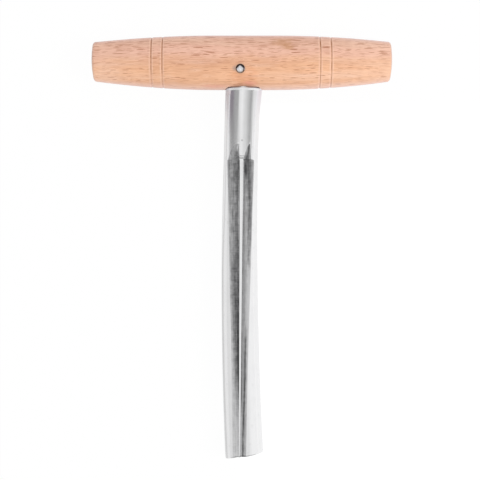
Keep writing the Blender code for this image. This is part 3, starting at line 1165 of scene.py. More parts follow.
@dataclass(frozen=True)
class BrightSteel(Finish):
    """Ground and polished steel, with grey milled flutes that hold dark residue and painted shade along
    their roots.
    """

    name: str = "bright_steel"
    polished: Colour = (0.82, 0.82, 0.825)
    milled: Colour = (0.62, 0.62, 0.625)
    residue_and_shade: Colour = (0.055, 0.055, 0.057)
    pit: Spot = Spot((0.00013, -0.0287, 0.0062), 0.0006, (0.055, 0.055, 0.057), 0.4)
    drawn_cell: Place = (0.00024, 0.022, 0.00024)
    drawn_wander: float = 0.2
    drawn_strength: float = 0.08
    mark_cell: Place = (0.0032, 0.00042, 0.0032)
    mark_wander: float = 0.7
    smudge_size: float = 0.006
    smudge_strength: float = 0.10
    speck_size: float = 0.0034
    speck_strength: float = 0.05
    blotch_cell: Place = (0.0010, 0.0024, 0.0010)
    blotch: Range = (0.3, 0.7, 0.0, 0.16)
    uneven_by_drawn: float = 0.22
    uneven_by_marks: float = 0.07
    uneven_middle: float = 0.22
    polished_roughness: Range = (0.0, 1.0, 0.10, 0.16)
    milled_roughness: Range = (0.0, 1.0, 0.34, 0.48)
    mark_height: float = 0.5
    polish_height: float = 0.08
    bump_strength: float = 0.22
    bump_height: float = 0.00002

    def _flute_darkening(
        self,
        sheet: NodeSheet,
        place: bpy.types.NodeSocket,
        drawn: bpy.types.NodeSocket,
        marks: bpy.types.NodeSocket,
    ) -> bpy.types.NodeSocket:
        """How dark a flute is from residue and painted shade, uneven along draw lines, the cutter's marks
        and blotches.

        Args:
            sheet: Sheet of the material.
            place: Coordinates of the tool.
            drawn: Draw lines.
            marks: Marks of the cutter.

        Returns:
            The amount from 0 to 1.
        """
        # Residue and painted shade, as written on the steel's points.
        residue_and_shade_amount = sheet.add("ShaderNodeAttribute", attribute_name="residue_and_shade_amount").outputs["Fac"]
        blotch = sheet.noise(sheet.stretch(place, self.blotch_cell), 3.0)
        uneven = sheet.math(
            "ADD",
            sheet.math("MULTIPLY", drawn, self.uneven_by_drawn),
            sheet.math("MULTIPLY", marks, self.uneven_by_marks),
        )
        uneven = sheet.math("ADD", uneven, sheet.remap(blotch, *self.blotch))
        darkening = sheet.math("ADD", residue_and_shade_amount, sheet.math("SUBTRACT", uneven, self.uneven_middle))
        return sheet.remap(darkening, 0.0, 1.0, 0.0, 1.0)

    def material(self, lay: ToolLay) -> bpy.types.Material:
        """Draws up the material.

        Args:
            lay: How the tool lies.

        Returns:
            The finished material.
        """
        material, sheet, shader, place = self._start(lay)
        sheet.feed(shader.inputs["Metallic"], 1.0)
        flute = sheet.add("ShaderNodeAttribute", attribute_name="flute").outputs["Fac"]
        drawn = Effects.drawn_lines(sheet, place, self.drawn_cell, self.drawn_wander).outputs["Lines"]
        marks = Effects.drawn_lines(sheet, place, self.mark_cell, self.mark_wander).outputs["Lines"]
        soil = Effects.handling(sheet, place, self.smudge_size, self.speck_size)
        land = sheet.tint(drawn, self.drawn_strength, self.polished, self.milled)
        land = sheet.tint(soil.outputs["Smudge"], self.smudge_strength, land, self.milled)
        land = sheet.tint(soil.outputs["Specks"], self.speck_strength, land, self.residue_and_shade)
        land = self._spotted(sheet, land, place, self.pit)
        # The flutes darken from milled grey by their residue and painted shade.
        grey = sheet.mix(self._flute_darkening(sheet, place, drawn, marks), self.milled, self.residue_and_shade)
        sheet.feed(shader.inputs["Base Color"], sheet.mix(flute, land, grey))
        smooth = sheet.remap(drawn, *self.polished_roughness)
        rough = sheet.remap(marks, *self.milled_roughness)
        sheet.feed(shader.inputs["Roughness"], sheet.fade(flute, smooth, rough))
        milling = sheet.math("ADD", sheet.math("MULTIPLY", marks, self.mark_height), drawn)
        polish = sheet.math("MULTIPLY", drawn, self.polish_height)
        height = sheet.math("ADD", sheet.math("MULTIPLY", flute, milling), polish)
        self._bump(sheet, shader, height, self.bump_strength, self.bump_height)
        return material


@dataclass(frozen=True)
class CutWire(Finish):
    """Snipped bright wire with smeared shear marks, grey bruises, a painted highlight spot and a rusty rim.
    """

    name: str = "cut_wire"
    bright: Colour = (0.82, 0.81, 0.83)
    bruised: Colour = (0.26, 0.26, 0.27)
    # Painted highlight: a brighter spot on the pin's end.
    painted_highlight: Colour = (0.96, 0.96, 0.97)
    painted_highlight_place: Span = (-0.0004, -0.0034)
    painted_highlight_edge: Range = (0.0, 0.0006, 1.0, 0.0)
    rusty: Colour = (0.30, 0.19, 0.13)
    rusty_place: Span = (-0.00058, -0.00285)
    rusty_from: Range = (0.0011, 0.00138, 0.0, 0.8)
    shear_cell: Place = (0.0012, 0.00018, 0.002)
    shear_wander: float = 0.5
    shear_strength: float = 0.2
    shear_roughness: Range = (0.0, 1.0, 0.28, 0.45)
    smudge_size: float = 0.0012
    smudge_strength: float = 0.32
    speck_size: float = 0.0011
    speck_strength: float = 0.4
    bump_strength: float = 0.3
    bump_height: float = 0.00003

    def material(self, lay: ToolLay) -> bpy.types.Material:
        """Draws up the material.

        Args:
            lay: How the tool lies.

        Returns:
            The finished material.
        """
        material, sheet, shader, place = self._start(lay)
        sheet.feed(shader.inputs["Metallic"], 1.0)
        shear = Effects.drawn_lines(sheet, place, self.shear_cell, self.shear_wander).outputs["Lines"]
        soil = Effects.handling(sheet, place, self.smudge_size, self.speck_size)
        grey = sheet.tint(shear, self.shear_strength, self.bright, self.bruised)
        grey = sheet.tint(soil.outputs["Smudge"], self.smudge_strength, grey, self.bruised)
        grey = sheet.tint(soil.outputs["Specks"], self.speck_strength, grey, self.bruised)
        rim = sheet.remap(sheet.front_reach(place, self.rusty_place), *self.rusty_from)
        grey = sheet.mix(rim, grey, self.rusty)
        # Painted highlight, a bright spot below the pin's middle.
        spot = sheet.remap(sheet.front_reach(place, self.painted_highlight_place), *self.painted_highlight_edge)
        sheet.feed(shader.inputs["Base Color"], sheet.mix(spot, grey, self.painted_highlight))
        sheet.feed(shader.inputs["Roughness"], sheet.remap(shear, *self.shear_roughness))
        self._bump(sheet, shader, shear, self.bump_strength, self.bump_height)
        return material


@dataclass(frozen=True)
class HandleHalf:
    """One half of the handle as it was turned: its inner groove, its end and how late it narrows."""

    inner_groove: float
    end_diameter: float
    sweep_power: float


@dataclass
class TurnedHandle:
    """Barrel-shaped handle with two pairs of grooves, a bored seat for the steel and a cross hole."""

    length: float = 0.110
    diameter: float = 0.01985
    belly_length: float = 0.022
    left: HandleHalf = HandleHalf(0.0288, 0.0141, 1.8)
    right: HandleHalf = HandleHalf(0.0285, 0.01425, 2.0)
    end_dome: float = 0.0006
    end_round: float = 0.0011
    groove_spacing: float = 0.0040
    groove_width: float = 0.0007
    groove_depth: float = 0.00022
    groove_spread: float = 0.7  # half width of its profile in widths
    groove_lip: float = 1.1  # above 1 rounds the lips inside the profile
    belly_rings: tuple[float, ...] = (0.02, 0.35, 0.7, 1.0)
    warp: Span = (-0.00010, 0.00028)
    splay: float = 0.33
    left_short: float = 0.00013
    seat_depth: float = 0.00075
    steps: int = 128
    bore_sides: int = 96
    barrel_steps: int = 14
    end_steps: int = 8
    groove_steps: int = 8
    finish: BareBeech = field(default_factory=BareBeech)

    @property
    def radius(self) -> float:
        """Radius of the belly."""
        return self.diameter / 2

    def barrel_radius(self, half: HandleHalf, x: float) -> float:
        """Radius at a distance from the middle, without the grooves.

        Args:
            half: Half of the handle.
            x: Distance from the middle.

        Returns:
            The radius.
        """
        straight = self.belly_length / 2
        share = max(0.0, (x - straight) / (self.length / 2 - straight))
        return self.radius - (self.diameter - half.end_diameter) / 2 * share**half.sweep_power

    def _groove(self, half: HandleHalf, middle: float) -> Profile:
        """Profile of one groove with rounded lips.

        Args:
            half: Half of the handle.
            middle: Place of the groove.

        Returns:
            The profile.
        """
        points = []
        for step in range(-self.groove_steps, self.groove_steps + 1):
            share = step / self.groove_steps
            x = middle + share * self.groove_width * self.groove_spread
            low = self.groove_depth * (1 - ease(abs(share) * self.groove_lip))
            points.append((x, self.barrel_radius(half, x) - low))
        return points

    def _stretch(self, half: HandleHalf, start: float, end: float) -> Profile:
        """Profile of the barrel between two places, without its ends.

        Args:
            half: Half of the handle.
            start: Place where the stretch starts.
            end: Place where it ends.

        Returns:
            The profile.
        """
        shares = [step / self.barrel_steps for step in range(1, self.barrel_steps)]
        places = [between((start, end), share) for share in shares]
        return [(x, self.barrel_radius(half, x)) for x in places]

    def _half_profile(self, half: HandleHalf) -> Profile:
        """Profile of one half, from the belly out to the middle of the end.

        Args:
            half: Half of the handle.

        Returns:
            The profile.
        """
        inner = half.inner_groove
        outer = inner + self.groove_spacing
        corner = self.length / 2 - self.end_dome - self.end_round
        points = [(self.belly_length / 2 * share, self.radius) for share in self.belly_rings]
        points += self._stretch(half, self.belly_length / 2, inner - self.groove_width)
        points += self._groove(half, inner)
        narrow = self._stretch(half, inner + self.groove_width, outer - self.groove_width)
        points += narrow[3::4]  # so short a stretch needs few rings
        points += self._groove(half, outer)
        points += self._stretch(half, outer + self.groove_width, corner)
        rim = self.barrel_radius(half, corner) - self.end_round
        for step in range(self.end_steps + 1):
            turn = math.pi / 2 * step / self.end_steps
            out = rim + self.end_round * math.cos(turn)
            points.append((corner + self.end_round * math.sin(turn), out))
        for step in range(1, self.end_steps + 1):
            radius = rim * (1 - step / self.end_steps)
            rise = self.end_dome * (1 - (radius / rim) ** 2)
            points.append((corner + self.end_round + rise, radius))
        return points

    def _warped(self, piece: bpy.types.Object) -> None:
        """Warps the dried wood: it lifts towards its ends, which are out of square, the left one short.

        Args:
            piece: The turned handle.
        """
        half = self.length / 2
        for vert in piece.data.vertices:
            x, y, _ = vert.co
            share = x / half
            short = self.left_short * max(0.0, -share)
            vert.co.x = x * (1 + self.splay * y) + short
            vert.co.y = y + between(self.warp, share**2)

    def build(self, steel: "FlutedSteel", pin: "CutPin", lay: ToolLay) -> bpy.types.Object:
        """Turns and bores the handle and dresses it.

        Args:
            steel: Steel that the bore and seat take.
            pin: Pin that the cross hole takes.
            lay: How the tool lies.

        Returns:
            The finished piece.
        """
        left, right = (self._half_profile(half) for half in (self.left, self.right))
        profile = [(-x, radius) for x, radius in reversed(left)] + right
        piece = Bench.turned("beech_handle", profile, Axis.ACROSS, self.steps)
        self._warped(piece)
        side = steel.side(steel.shoulder)
        below = -2 * self.radius
        bores = (
            (steel.tang_diameter, steel.tang_past_axis + FIT_GAP),
            (steel.shank_diameter, self.seat_depth - self.radius),
        )
        for diameter, end in bores:
            ends = Vector((side, below, 0)), Vector((side, end, 0))
            Bench.bore(piece, diameter / 2 + FIT_GAP, *ends, Axis.ALONG, self.bore_sides)
        pin.drill(piece, self.diameter)
        Bench.smooth(piece)
        piece.data.materials.append(self.finish.material(lay))
        return piece


# Darkness in each flute: partly residue, partly painted shade and dark reflections laid where the flute's
# shade falls, with painted highlights where a mark is below 0.
LEFT_RESIDUE_AND_SHADE = ResidueAndShade(
    film=Trend(
        0.06, ((-0.054, 0.009, 0.3), (-0.02, 0.02, 0.04), (0.0, 1.0, -0.26)), ((0.04, 0.02, 0.03),)
    ),
    marks=(
        # Painted shade, darker towards the rib: in the run-out, a third of the way down, over the middle
        # and lower.
        Wash(Trend(0.14, ((-0.02, 0.02, -0.14),)), Trend(0.8), 0.5),
        Wash(Trend(swells=((0.09, 0.30, 0.08),)), Trend(0.7), 0.4),
        Wash(
            Trend(swells=((0.15, 0.08, 0.14), (0.42, 0.54, 0.27), (0.1, 0.72, 0.07))),
            Trend(1.04, ((0.45, 0.3, -0.07),)),
            0.5,
        ),
        Wash(Trend(swells=((0.36, 0.68, 0.15), (0.15, 0.03, 0.05))), Trend(0.4), 0.2),
        # Painted highlights, lighter along the rib in the run-out, on a burr beside the rib and on a sliver
        # in the run-out.
        Streak(Trend(-0.24, ((-0.02, 0.02, 0.24),)), Trend(0.05), Trend(0.08)),
        Streak(Trend(swells=((-0.24, 0.19, 0.12),)), Trend(0.14), Trend(0.06)),
        Streak(Trend(swells=((-0.5, -0.043, 0.012),)), Trend(0.26), Trend(0.10)),
        # Painted shade in the seam where the flute meets the rib.
        Streak(Trend(0.0, ((0.15, 0.1, 0.30), (0.84, 0.1, -0.30))), Trend(0.0), Trend(0.06)),
    ),
)
RIGHT_RESIDUE_AND_SHADE = ResidueAndShade(
    film=Trend(0.35, ((0.0, 0.625, -0.32),)),
    marks=(
        # Painted shade in a dark rim beside the rib.
        Streak(Trend(0.0, ((0.12, 0.15, 0.85), (0.78, 0.12, -0.68))), Trend(0.08), Trend(0.065)),
        # Darker start of residue and painted shade, with the core of the run-out above it.
        Streak(
            Trend(0.08, ((-0.01, 0.03, 0.36), (0.03, 0.05, -0.44))),
            Trend(0.60, ((-0.02, 0.02, -0.26),)),
            Trend(0.19, ((-0.02, 0.02, -0.06),)),
        ),
        # Band that slides towards the land in the upper third.
        Streak(
            Trend(0.36, ((0.28, 0.16, -0.36),)),
            Trend(0.58, ((0.0, 0.15, 0.18),), pace=held),
            Trend(0.2),
        ),
        # Line along the lower half, and a tail beside it near the land.
        Streak(
            Trend(0.0, ((0.33, 0.08, 0.15), (0.52, 0.12, 0.52))),
            Trend(0.45, ((0.5, 0.1, 0.17), (0.7, 0.26, -0.2))),
            Trend(0.155),
        ),
        Streak(Trend(0.0, ((0.62, 0.15, 0.12), (0.75, 0.15, 0.20))), Trend(0.75), Trend(0.17)),
    ),
)


@dataclass
class FlutedSteel:
    """Tang, shouldered shank and fluted blade in one bowed bar.

    Edges of the flutes and run-outs are front-view places from side to side, at both ends of their
    stretch.
    """

    shoulder: float = 0.0094
    tang_diameter: float = 0.0082
    tang_past_axis: float = 0.0045
    shank_diameter: float = 0.0129
    shank_chamfer: float = 0.0003
    chamfer_rings: int = 5
    collar_length: float = 0.00034
    collar_rise: float = 0.00005
    collar_rings: tuple[float, ...] = (0.0, 0.08, 0.92)
    neck_diameter: float = 0.0126
    tip_diameter: float = 0.0141
    flare_power: float = 0.8
    seat_flare: float = 0.00042
    seat_flare_length: float = 0.0105
    seat_flare_power: int = 3
    flute_start: float = 0.0356
    runout_length: float = 0.0058
    reach: float = 0.1439
    bearing: float = 0.1421
    end_slant: float = math.radians(8.3)
    end_bevel_length: float = 0.0008
    end_bevel_drop: float = 0.00008
    end_corner: float = 0.0002
    end_corner_from: float = 0.3
    end_hook: float = 0.00024
    end_hook_shape: Trend = Trend(-1.0, ((-0.95, 0.4, 1.0),), ((0.5, -0.35, 0.25),))
    end_line: float = 0.0004
    end_line_edge: float = 0.8
    # Painted shade along the slanted end's edge: the flutes darker there, and the lands darker near the
    # middle.
    end_line_shade: float = 0.38
    end_edge_shade: float = 0.4
    end_edge_shade_place: float = -0.0004
    end_edge_shade_reach: float = 0.0030
    end_edge_shade_edge: float = 1.6
    end_edge_shade_least: float = 0.01
    end_rings: tuple[float, ...] = (0.985, 0.7, 0.4, 0.12)
    bow: float = 0.0015
    side_top: float = 0.0006
    side_tip: float = 0.0010
    left_outer: Span = (-0.0052, -0.0035)
    left_inset: float = 0.0002
    inset_change: Span = (0.42, 0.60)
    rib_left: Span = (-0.00066, -0.00103)
    rib_right: Span = (0.00068, -0.00064)
    right_outer: Span = (0.0046, 0.0013)
    right_flare: float = 0.00045
    right_flare_from: float = 0.7
    runout_left_outer: Span = (-0.0019, -0.0048)
    runout_left_widens: float = 0.55
    runout_left_inner: Span = (-0.00095, -0.0008)
    runout_right_inner: Span = (0.0028, 0.0006)
    runout_right_outer: Span = (0.0031, 0.0036)
    runout_widens: float = 0.8
    runout_deepens: float = 0.6
    runout_depth_share: float = 0.7
    runout_left_depth: Trend = Trend(0.1, ((0.0, 0.4, 0.4),))  # as a share of the right one's
    runout_left_meets: float = 0.55  # from here on it deepens to the flute's own depth
    flute_depth: Span = (0.0021, 0.0009)
    flute_skew: float = 0.45
    flute_crowding: float = 1.6
    wall_share: float = 0.12
    rib_relief: float = 0.00015
    rib_steps: Span = (0.79, 0.92)
    rib_scars: Span = (0.5, 1.0)
    scar_run: float = 0.05
    scar_rings: tuple[float, ...] = (-0.6, -0.4, 0.4, 0.6)
    shoulder_run: float = 0.0002
    crisp: float = 0.004
    # Residue and painted shade in the two front flutes.
    left_residue_and_shade: ResidueAndShade = LEFT_RESIDUE_AND_SHADE
    right_residue_and_shade: ResidueAndShade = RIGHT_RESIDUE_AND_SHADE
    shank_rings: int = 30
    runout_rings: int = 26
    blade_rings: int = 110
    finish: BrightSteel = field(default_factory=BrightSteel)

    def side(self, down: float) -> float:
        """Sideways place of the bowed centre line."""
        share = (max(down, self.shoulder) - self.shoulder) / (self.reach - self.shoulder)
        return between((self.side_top, self.side_tip), share) - self.bow * (1 - (2 * share - 1) ** 2)

    def along(self, down: float) -> float:
        """Place along the flutes, from 0 at their start to 1 at the tip."""
        return (down - self.flute_start) / (self.reach - self.flute_start)

    def radius(self, down: float) -> float:
        """Radius over the lands.

        Args:
            down: Distance below the handle's axis.

        Returns:
            The radius.
        """
        if down < self.flute_start:
            share = (down - self.shoulder) / (self.flute_start - self.shoulder)
            return between((self.shank_diameter, self.neck_diameter), share) / 2
        return between((self.neck_diameter, self.tip_diameter), self.along(down) ** self.flare_power) / 2

    def _edges(self, down: float) -> list[float]:
        """Front-view edges of the front pair of flutes.

        Args:
            down: Distance below the handle's axis.

        Returns:
            The edges from left to right.
        """
        share = max(0.0, self.along(down))
        pairs = (self.left_outer, self.rib_left, self.rib_right, self.right_outer)
        edges = [between(pair, share) for pair in pairs]
        start, end = self.inset_change
        edges[0] += self.left_inset * ease((share - start) / (end - start))
        flared = held((share - self.right_flare_from) / (1 - self.right_flare_from))
        edges[-1] += self.right_flare * flared
        return edges

    def _runout_edges(self, share: float) -> list[float]:
        """Front-view edges of the pointed run-outs.

        Args:
            share: Place along them, from their tips at 0 to the start of the flutes at 1.

        Returns:
            The edges from left to right.
        """
        left = between(self.runout_left_outer, share**self.runout_left_widens)
        pairs = (self.runout_left_inner, self.runout_right_inner, self.runout_right_outer)
        return [left, *(between(pair, share**self.runout_widens) for pair in pairs)]

    def _flute_drop(self, share: float, depth: float, relief: float) -> float:
        """How far a flute lies below the lands, with an upright wall along the rib.

        Args:
            share: Place across the flute, from the rib at 0 to the land at 1.
            depth: Depth of the flute.
            relief: How far the rib stands below the lands.

        Returns:
            The drop.
        """
        if share == 0.0:
            return relief
        past_wall = between((self.wall_share, 1.0), share)
        return depth * math.sin(math.pi * past_wall**self.flute_skew) + relief * (1 - share)

    def _ring(
        self,
        down: float,
        radius: float,
        edges: Sequence[float],
        depth: float,
        relief: float,
        scar: float = -1.0,
        left_share: float = 1.0,
    ) -> Ring:
        """One cross-section: rib, right flute, land and left flute, then the same turned half round.

        Args:
            down: Distance below the handle's axis.
            radius: Radius over the lands.
            edges: Front-view edges of the flutes.
            depth: Depth of the flutes, 0 for a round section.
            relief: How far the rib stands below the lands.
            scar: Residue on the rib, below 0 for none.
            left_share: Depth of the left flute as a share of the right one's.

        Returns:
            The places of the points and their residue with painted shade.
        """
        side = self.side(down)
        turn = [math.asin(max(-1.0, min(1.0, (edge - side) / radius))) for edge in edges]
        left_outer, rib_left, rib_right, right_outer = turn
        along = self.along(down)
        edge_film = self.left_residue_and_shade.at(along, 1.0) if down <= self.flute_start else -1.0
        half: list[tuple[float, float, float]] = []
        for step in range(Zone.RIB.value):
            half.append((between((rib_left, rib_right), step / Zone.RIB.value), relief, scar))
        for step in range(Zone.FLUTE.value):
            share = (step / Zone.FLUTE.value) ** self.flute_crowding
            low = self._flute_drop(share, depth, relief)
            film = self.right_residue_and_shade.at(along, share)
            half.append((between((rib_right, right_outer), share), low, film))
        for step in range(Zone.LAND.value):
            even = held((step - 1) / (Zone.LAND.value - 2))
            share = even * (1 - 2 * self.crisp) + self.crisp * min(step, 1)
            film = edge_film if step == Zone.LAND.value - 1 else -1.0
            half.append((between((right_outer, left_outer + math.pi), share), 0.0, film))
        for step in range(Zone.FLUTE.value):
            share = (1 - step / Zone.FLUTE.value) ** self.flute_crowding
            low = self._flute_drop(share, depth * left_share, relief)
            film = self.left_residue_and_shade.at(along, share) if step else edge_film
            half.append((math.pi + between((rib_left, left_outer), share), low, film))
        places, residue_and_shade = [], []
        for half_turn in (0.0, math.pi):
            for angle, drop, film in half:
                out = radius - drop
                around = angle + half_turn
                places.append(Vector((side + out * math.sin(around), -down, out * math.cos(around))))
                residue_and_shade.append(film if depth > 0 else -1.0)
        return places, residue_and_shade

    def _plain_ring(self, down: float, radius: float, gather: float = 0.0) -> Ring:
        """Round cross-section, flared to the right by the seat.

        Args:
            down: Distance below the handle's axis.
            radius: Radius of the ring.
            gather: How far its points have drawn together for the tips of the run-outs.

        Returns:
            The places of the points and their residue with painted shade.
        """
        start = self.radius(self.flute_start)
        middle = self.side(self.flute_start)
        side = self.side(down)
        spread = [side + (edge - middle) * radius / start for edge in self._edges(self.flute_start)]
        edges = [between(pair, gather) for pair in zip(spread, self._runout_edges(0.0))]
        places, residue_and_shade = self._ring(down, radius, edges, 0.0, 0.0)
        if down >= self.shoulder:
            flare = self.seat_flare * (1 - ease((down - self.shoulder) / self.seat_flare_length))
            for place in places:
                place.x += flare * max(0.0, (place.x - side) / radius) ** self.seat_flare_power
        return places, residue_and_shade

    def _runout_section(self, share: float) -> Ring:
        """Cross-section through the run-outs, where the rib drops in two small scarred steps.

        Args:
            share: Place along them, from their tips at 0 to the start of the flutes at 1.

        Returns:
            The places of the points and their residue with painted shade.
        """
        down = self.flute_start - self.runout_length * (1 - share)
        depth = self.flute_depth[0] * self.runout_depth_share * share**self.runout_deepens
        passed = sum(ease((share - step) / self.scar_run + 0.5) for step in self.rib_steps)
        relief = self.rib_relief * passed / (len(self.rib_steps) + 1)
        scar = -1.0
        for step, dark in zip(self.rib_steps, self.rib_scars):
            if abs(share - step) < self.scar_run / 2:
                scar = dark
        edges = self._runout_edges(share)
        met = ease((share - self.runout_left_meets) / (1 - self.runout_left_meets))
        left_share = between((self.runout_left_depth.at(share), 1 / self.runout_depth_share), met)
        return self._ring(down, self.radius(down), edges, depth, relief, scar, left_share)

    def _end_rise(self, x: float) -> float:
        """How far the slanted end lies above the middle of the tip.

        Args:
            x: Place from side to side.

        Returns:
            The rise, with the worn right corner and the hooked left one.
        """
        radius = self.radius(self.reach)
        across = (x - self.side(self.reach)) / radius
        corner = self.end_corner * max(0.0, across - self.end_corner_from) ** 2
        hook = self.end_hook * self.end_hook_shape.at(across)
        return across * radius * math.tan(self.end_slant) + corner + hook

    def _tip_ring(self, back: float, drop: float, shrink: float = 1.0) -> Ring:
        """Cross-section on or just above the slanted end.

        Args:
            back: How far above the end it lies.
            drop: How far it stands in from the lands.
            shrink: Scale towards the middle.

        Returns:
            The places of the points and their residue with painted shade.
        """
        radius = self.radius(self.reach) - drop
        edges = self._edges(self.reach)
        places, residue_and_shade = self._ring(self.reach, radius, edges, self.flute_depth[1], self.rib_relief)
        side = self.side(self.reach)
        for place in places:
            place.x = side + (place.x - side) * shrink
            place.z *= shrink
            place.y += self._end_rise(place.x) + back
        if shrink < 1.0:
            return places, [-1.0] * len(residue_and_shade)
        # Painted shade on the end line: the flutes darken, and the lands near the middle are marked milled
        # and darkened.
        if back < self.end_line:
            for index, place in enumerate(places):
                off = abs(place.x - side - self.end_edge_shade_place) / self.end_edge_shade_reach
                edge_shade = self.end_edge_shade * ease(self.end_edge_shade_edge - off) - self.end_edge_shade_least
                film = residue_and_shade[index]
                residue_and_shade[index] = held(film + self.end_line_shade) if film >= 0 else edge_shade
        return places, residue_and_shade

    def _shank_sections(self) -> list[Ring]:
        """Cross-sections of the tang, the shoulder, its collar and the shank down to the run-outs.

        Returns:
            The cross-sections.
        """
        tang = self.tang_diameter / 2
        out = self.radius(self.shoulder)
        sections = [
            self._plain_ring(-self.tang_past_axis, tang - self.shank_chamfer),
            self._plain_ring(self.shank_chamfer - self.tang_past_axis, tang),
            self._plain_ring(self.shoulder, tang),
        ]
        for step in range(self.chamfer_rings):
            turn = math.pi / 2 * step / self.chamfer_rings
            down = self.shoulder + self.shank_chamfer * (1 - math.cos(turn))
            rise = self.collar_rise - self.shank_chamfer * (1 - math.sin(turn))
            sections.append(self._plain_ring(down, out + rise))
        top = self.shoulder + self.shank_chamfer
        for share in self.collar_rings:
            rise = self.collar_rise * (1 - share)
            sections.append(self._plain_ring(top + self.collar_length * share, out + rise))
        stretch = (top + self.collar_length, self.flute_start - self.runout_length)
        for step in range(self.shank_rings):
            share = step / self.shank_rings
            down = between(stretch, share)
            sections.append(self._plain_ring(down, self.radius(down), ease(share)))
        return sections

    def _blade_sections(self) -> list[Ring]:
        """Cross-sections of the run-outs, the flutes and the slanted end.

        Returns:
            The cross-sections.
        """
        shares = [step / self.runout_rings for step in range(self.runout_rings + 1)]
        shares += [step + self.scar_run * run for step in self.rib_steps for run in self.scar_rings]
        sections = [self._runout_section(share) for share in sorted(shares)]
        rise = self.radius(self.reach) * math.tan(self.end_slant)
        stretch = (self.flute_start + self.shoulder_run, self.reach - self.end_bevel_length - rise)
        for step in range(self.blade_rings + 1):
            share = step / self.blade_rings
            down = between(stretch, share)
            depth = between(self.flute_depth, share)
            edges = self._edges(down)
            sections.append(self._ring(down, self.radius(down), edges, depth, self.rib_relief))
        for back in (self.end_bevel_length, self.end_line, self.end_line * self.end_line_edge, 0.0):
            drop = self.end_bevel_drop * (1 - back / self.end_bevel_length)
            sections.append(self._tip_ring(back, drop))
        sections += [self._tip_ring(0.0, self.end_bevel_drop, shrink) for shrink in self.end_rings]
        return sections

    def _mark_flutes(
        self, piece: bpy.types.Object, rows: Sequence[Sequence[int]], residue_and_shade: Sequence[Sequence[float]]
    ) -> None:
        """Writes the milled zone and its residue with painted shade on the points.

        Args:
            piece: The steel.
            rows: Point numbers of each cross-section.
            residue_and_shade: Darkness of each point from residue and painted shade, in the same order.
        """
        # Residue and painted shade go on the points together with the milled zone.
        milled = piece.data.attributes.new("flute", "FLOAT", "POINT")
        residue_and_shade_amount = piece.data.attributes.new("residue_and_shade_amount", "FLOAT", "POINT")
        for row, values in zip(rows, residue_and_shade):
            for index, value in zip(row, values):
                milled.data[index].value = 0.0 if value < 0 else 1.0
                residue_and_shade_amount.data[index].value = held(value)

    def build(self, pin: "CutPin", lay: ToolLay) -> bpy.types.Object:
        """Draws the bar out, drills it for the pin and dresses it.

        Args:
            pin: Pin that the cross hole takes.
            lay: How the tool lies.

        Returns:
            The finished piece.
        """
        sections = self._shank_sections() + self._blade_sections()
        piece = Bench.open_ring("fluted_steel", len(sections[0][0]))
        rows = Bench.sweep(piece, [places for places, _ in sections])
        self._mark_flutes(piece, rows, [residue_and_shade for _, residue_and_shade in sections])
        pin.drill(piece, self.tang_diameter)
        Bench.smooth(piece)
        piece.data.materials.append(self.finish.material(lay))
        return piece


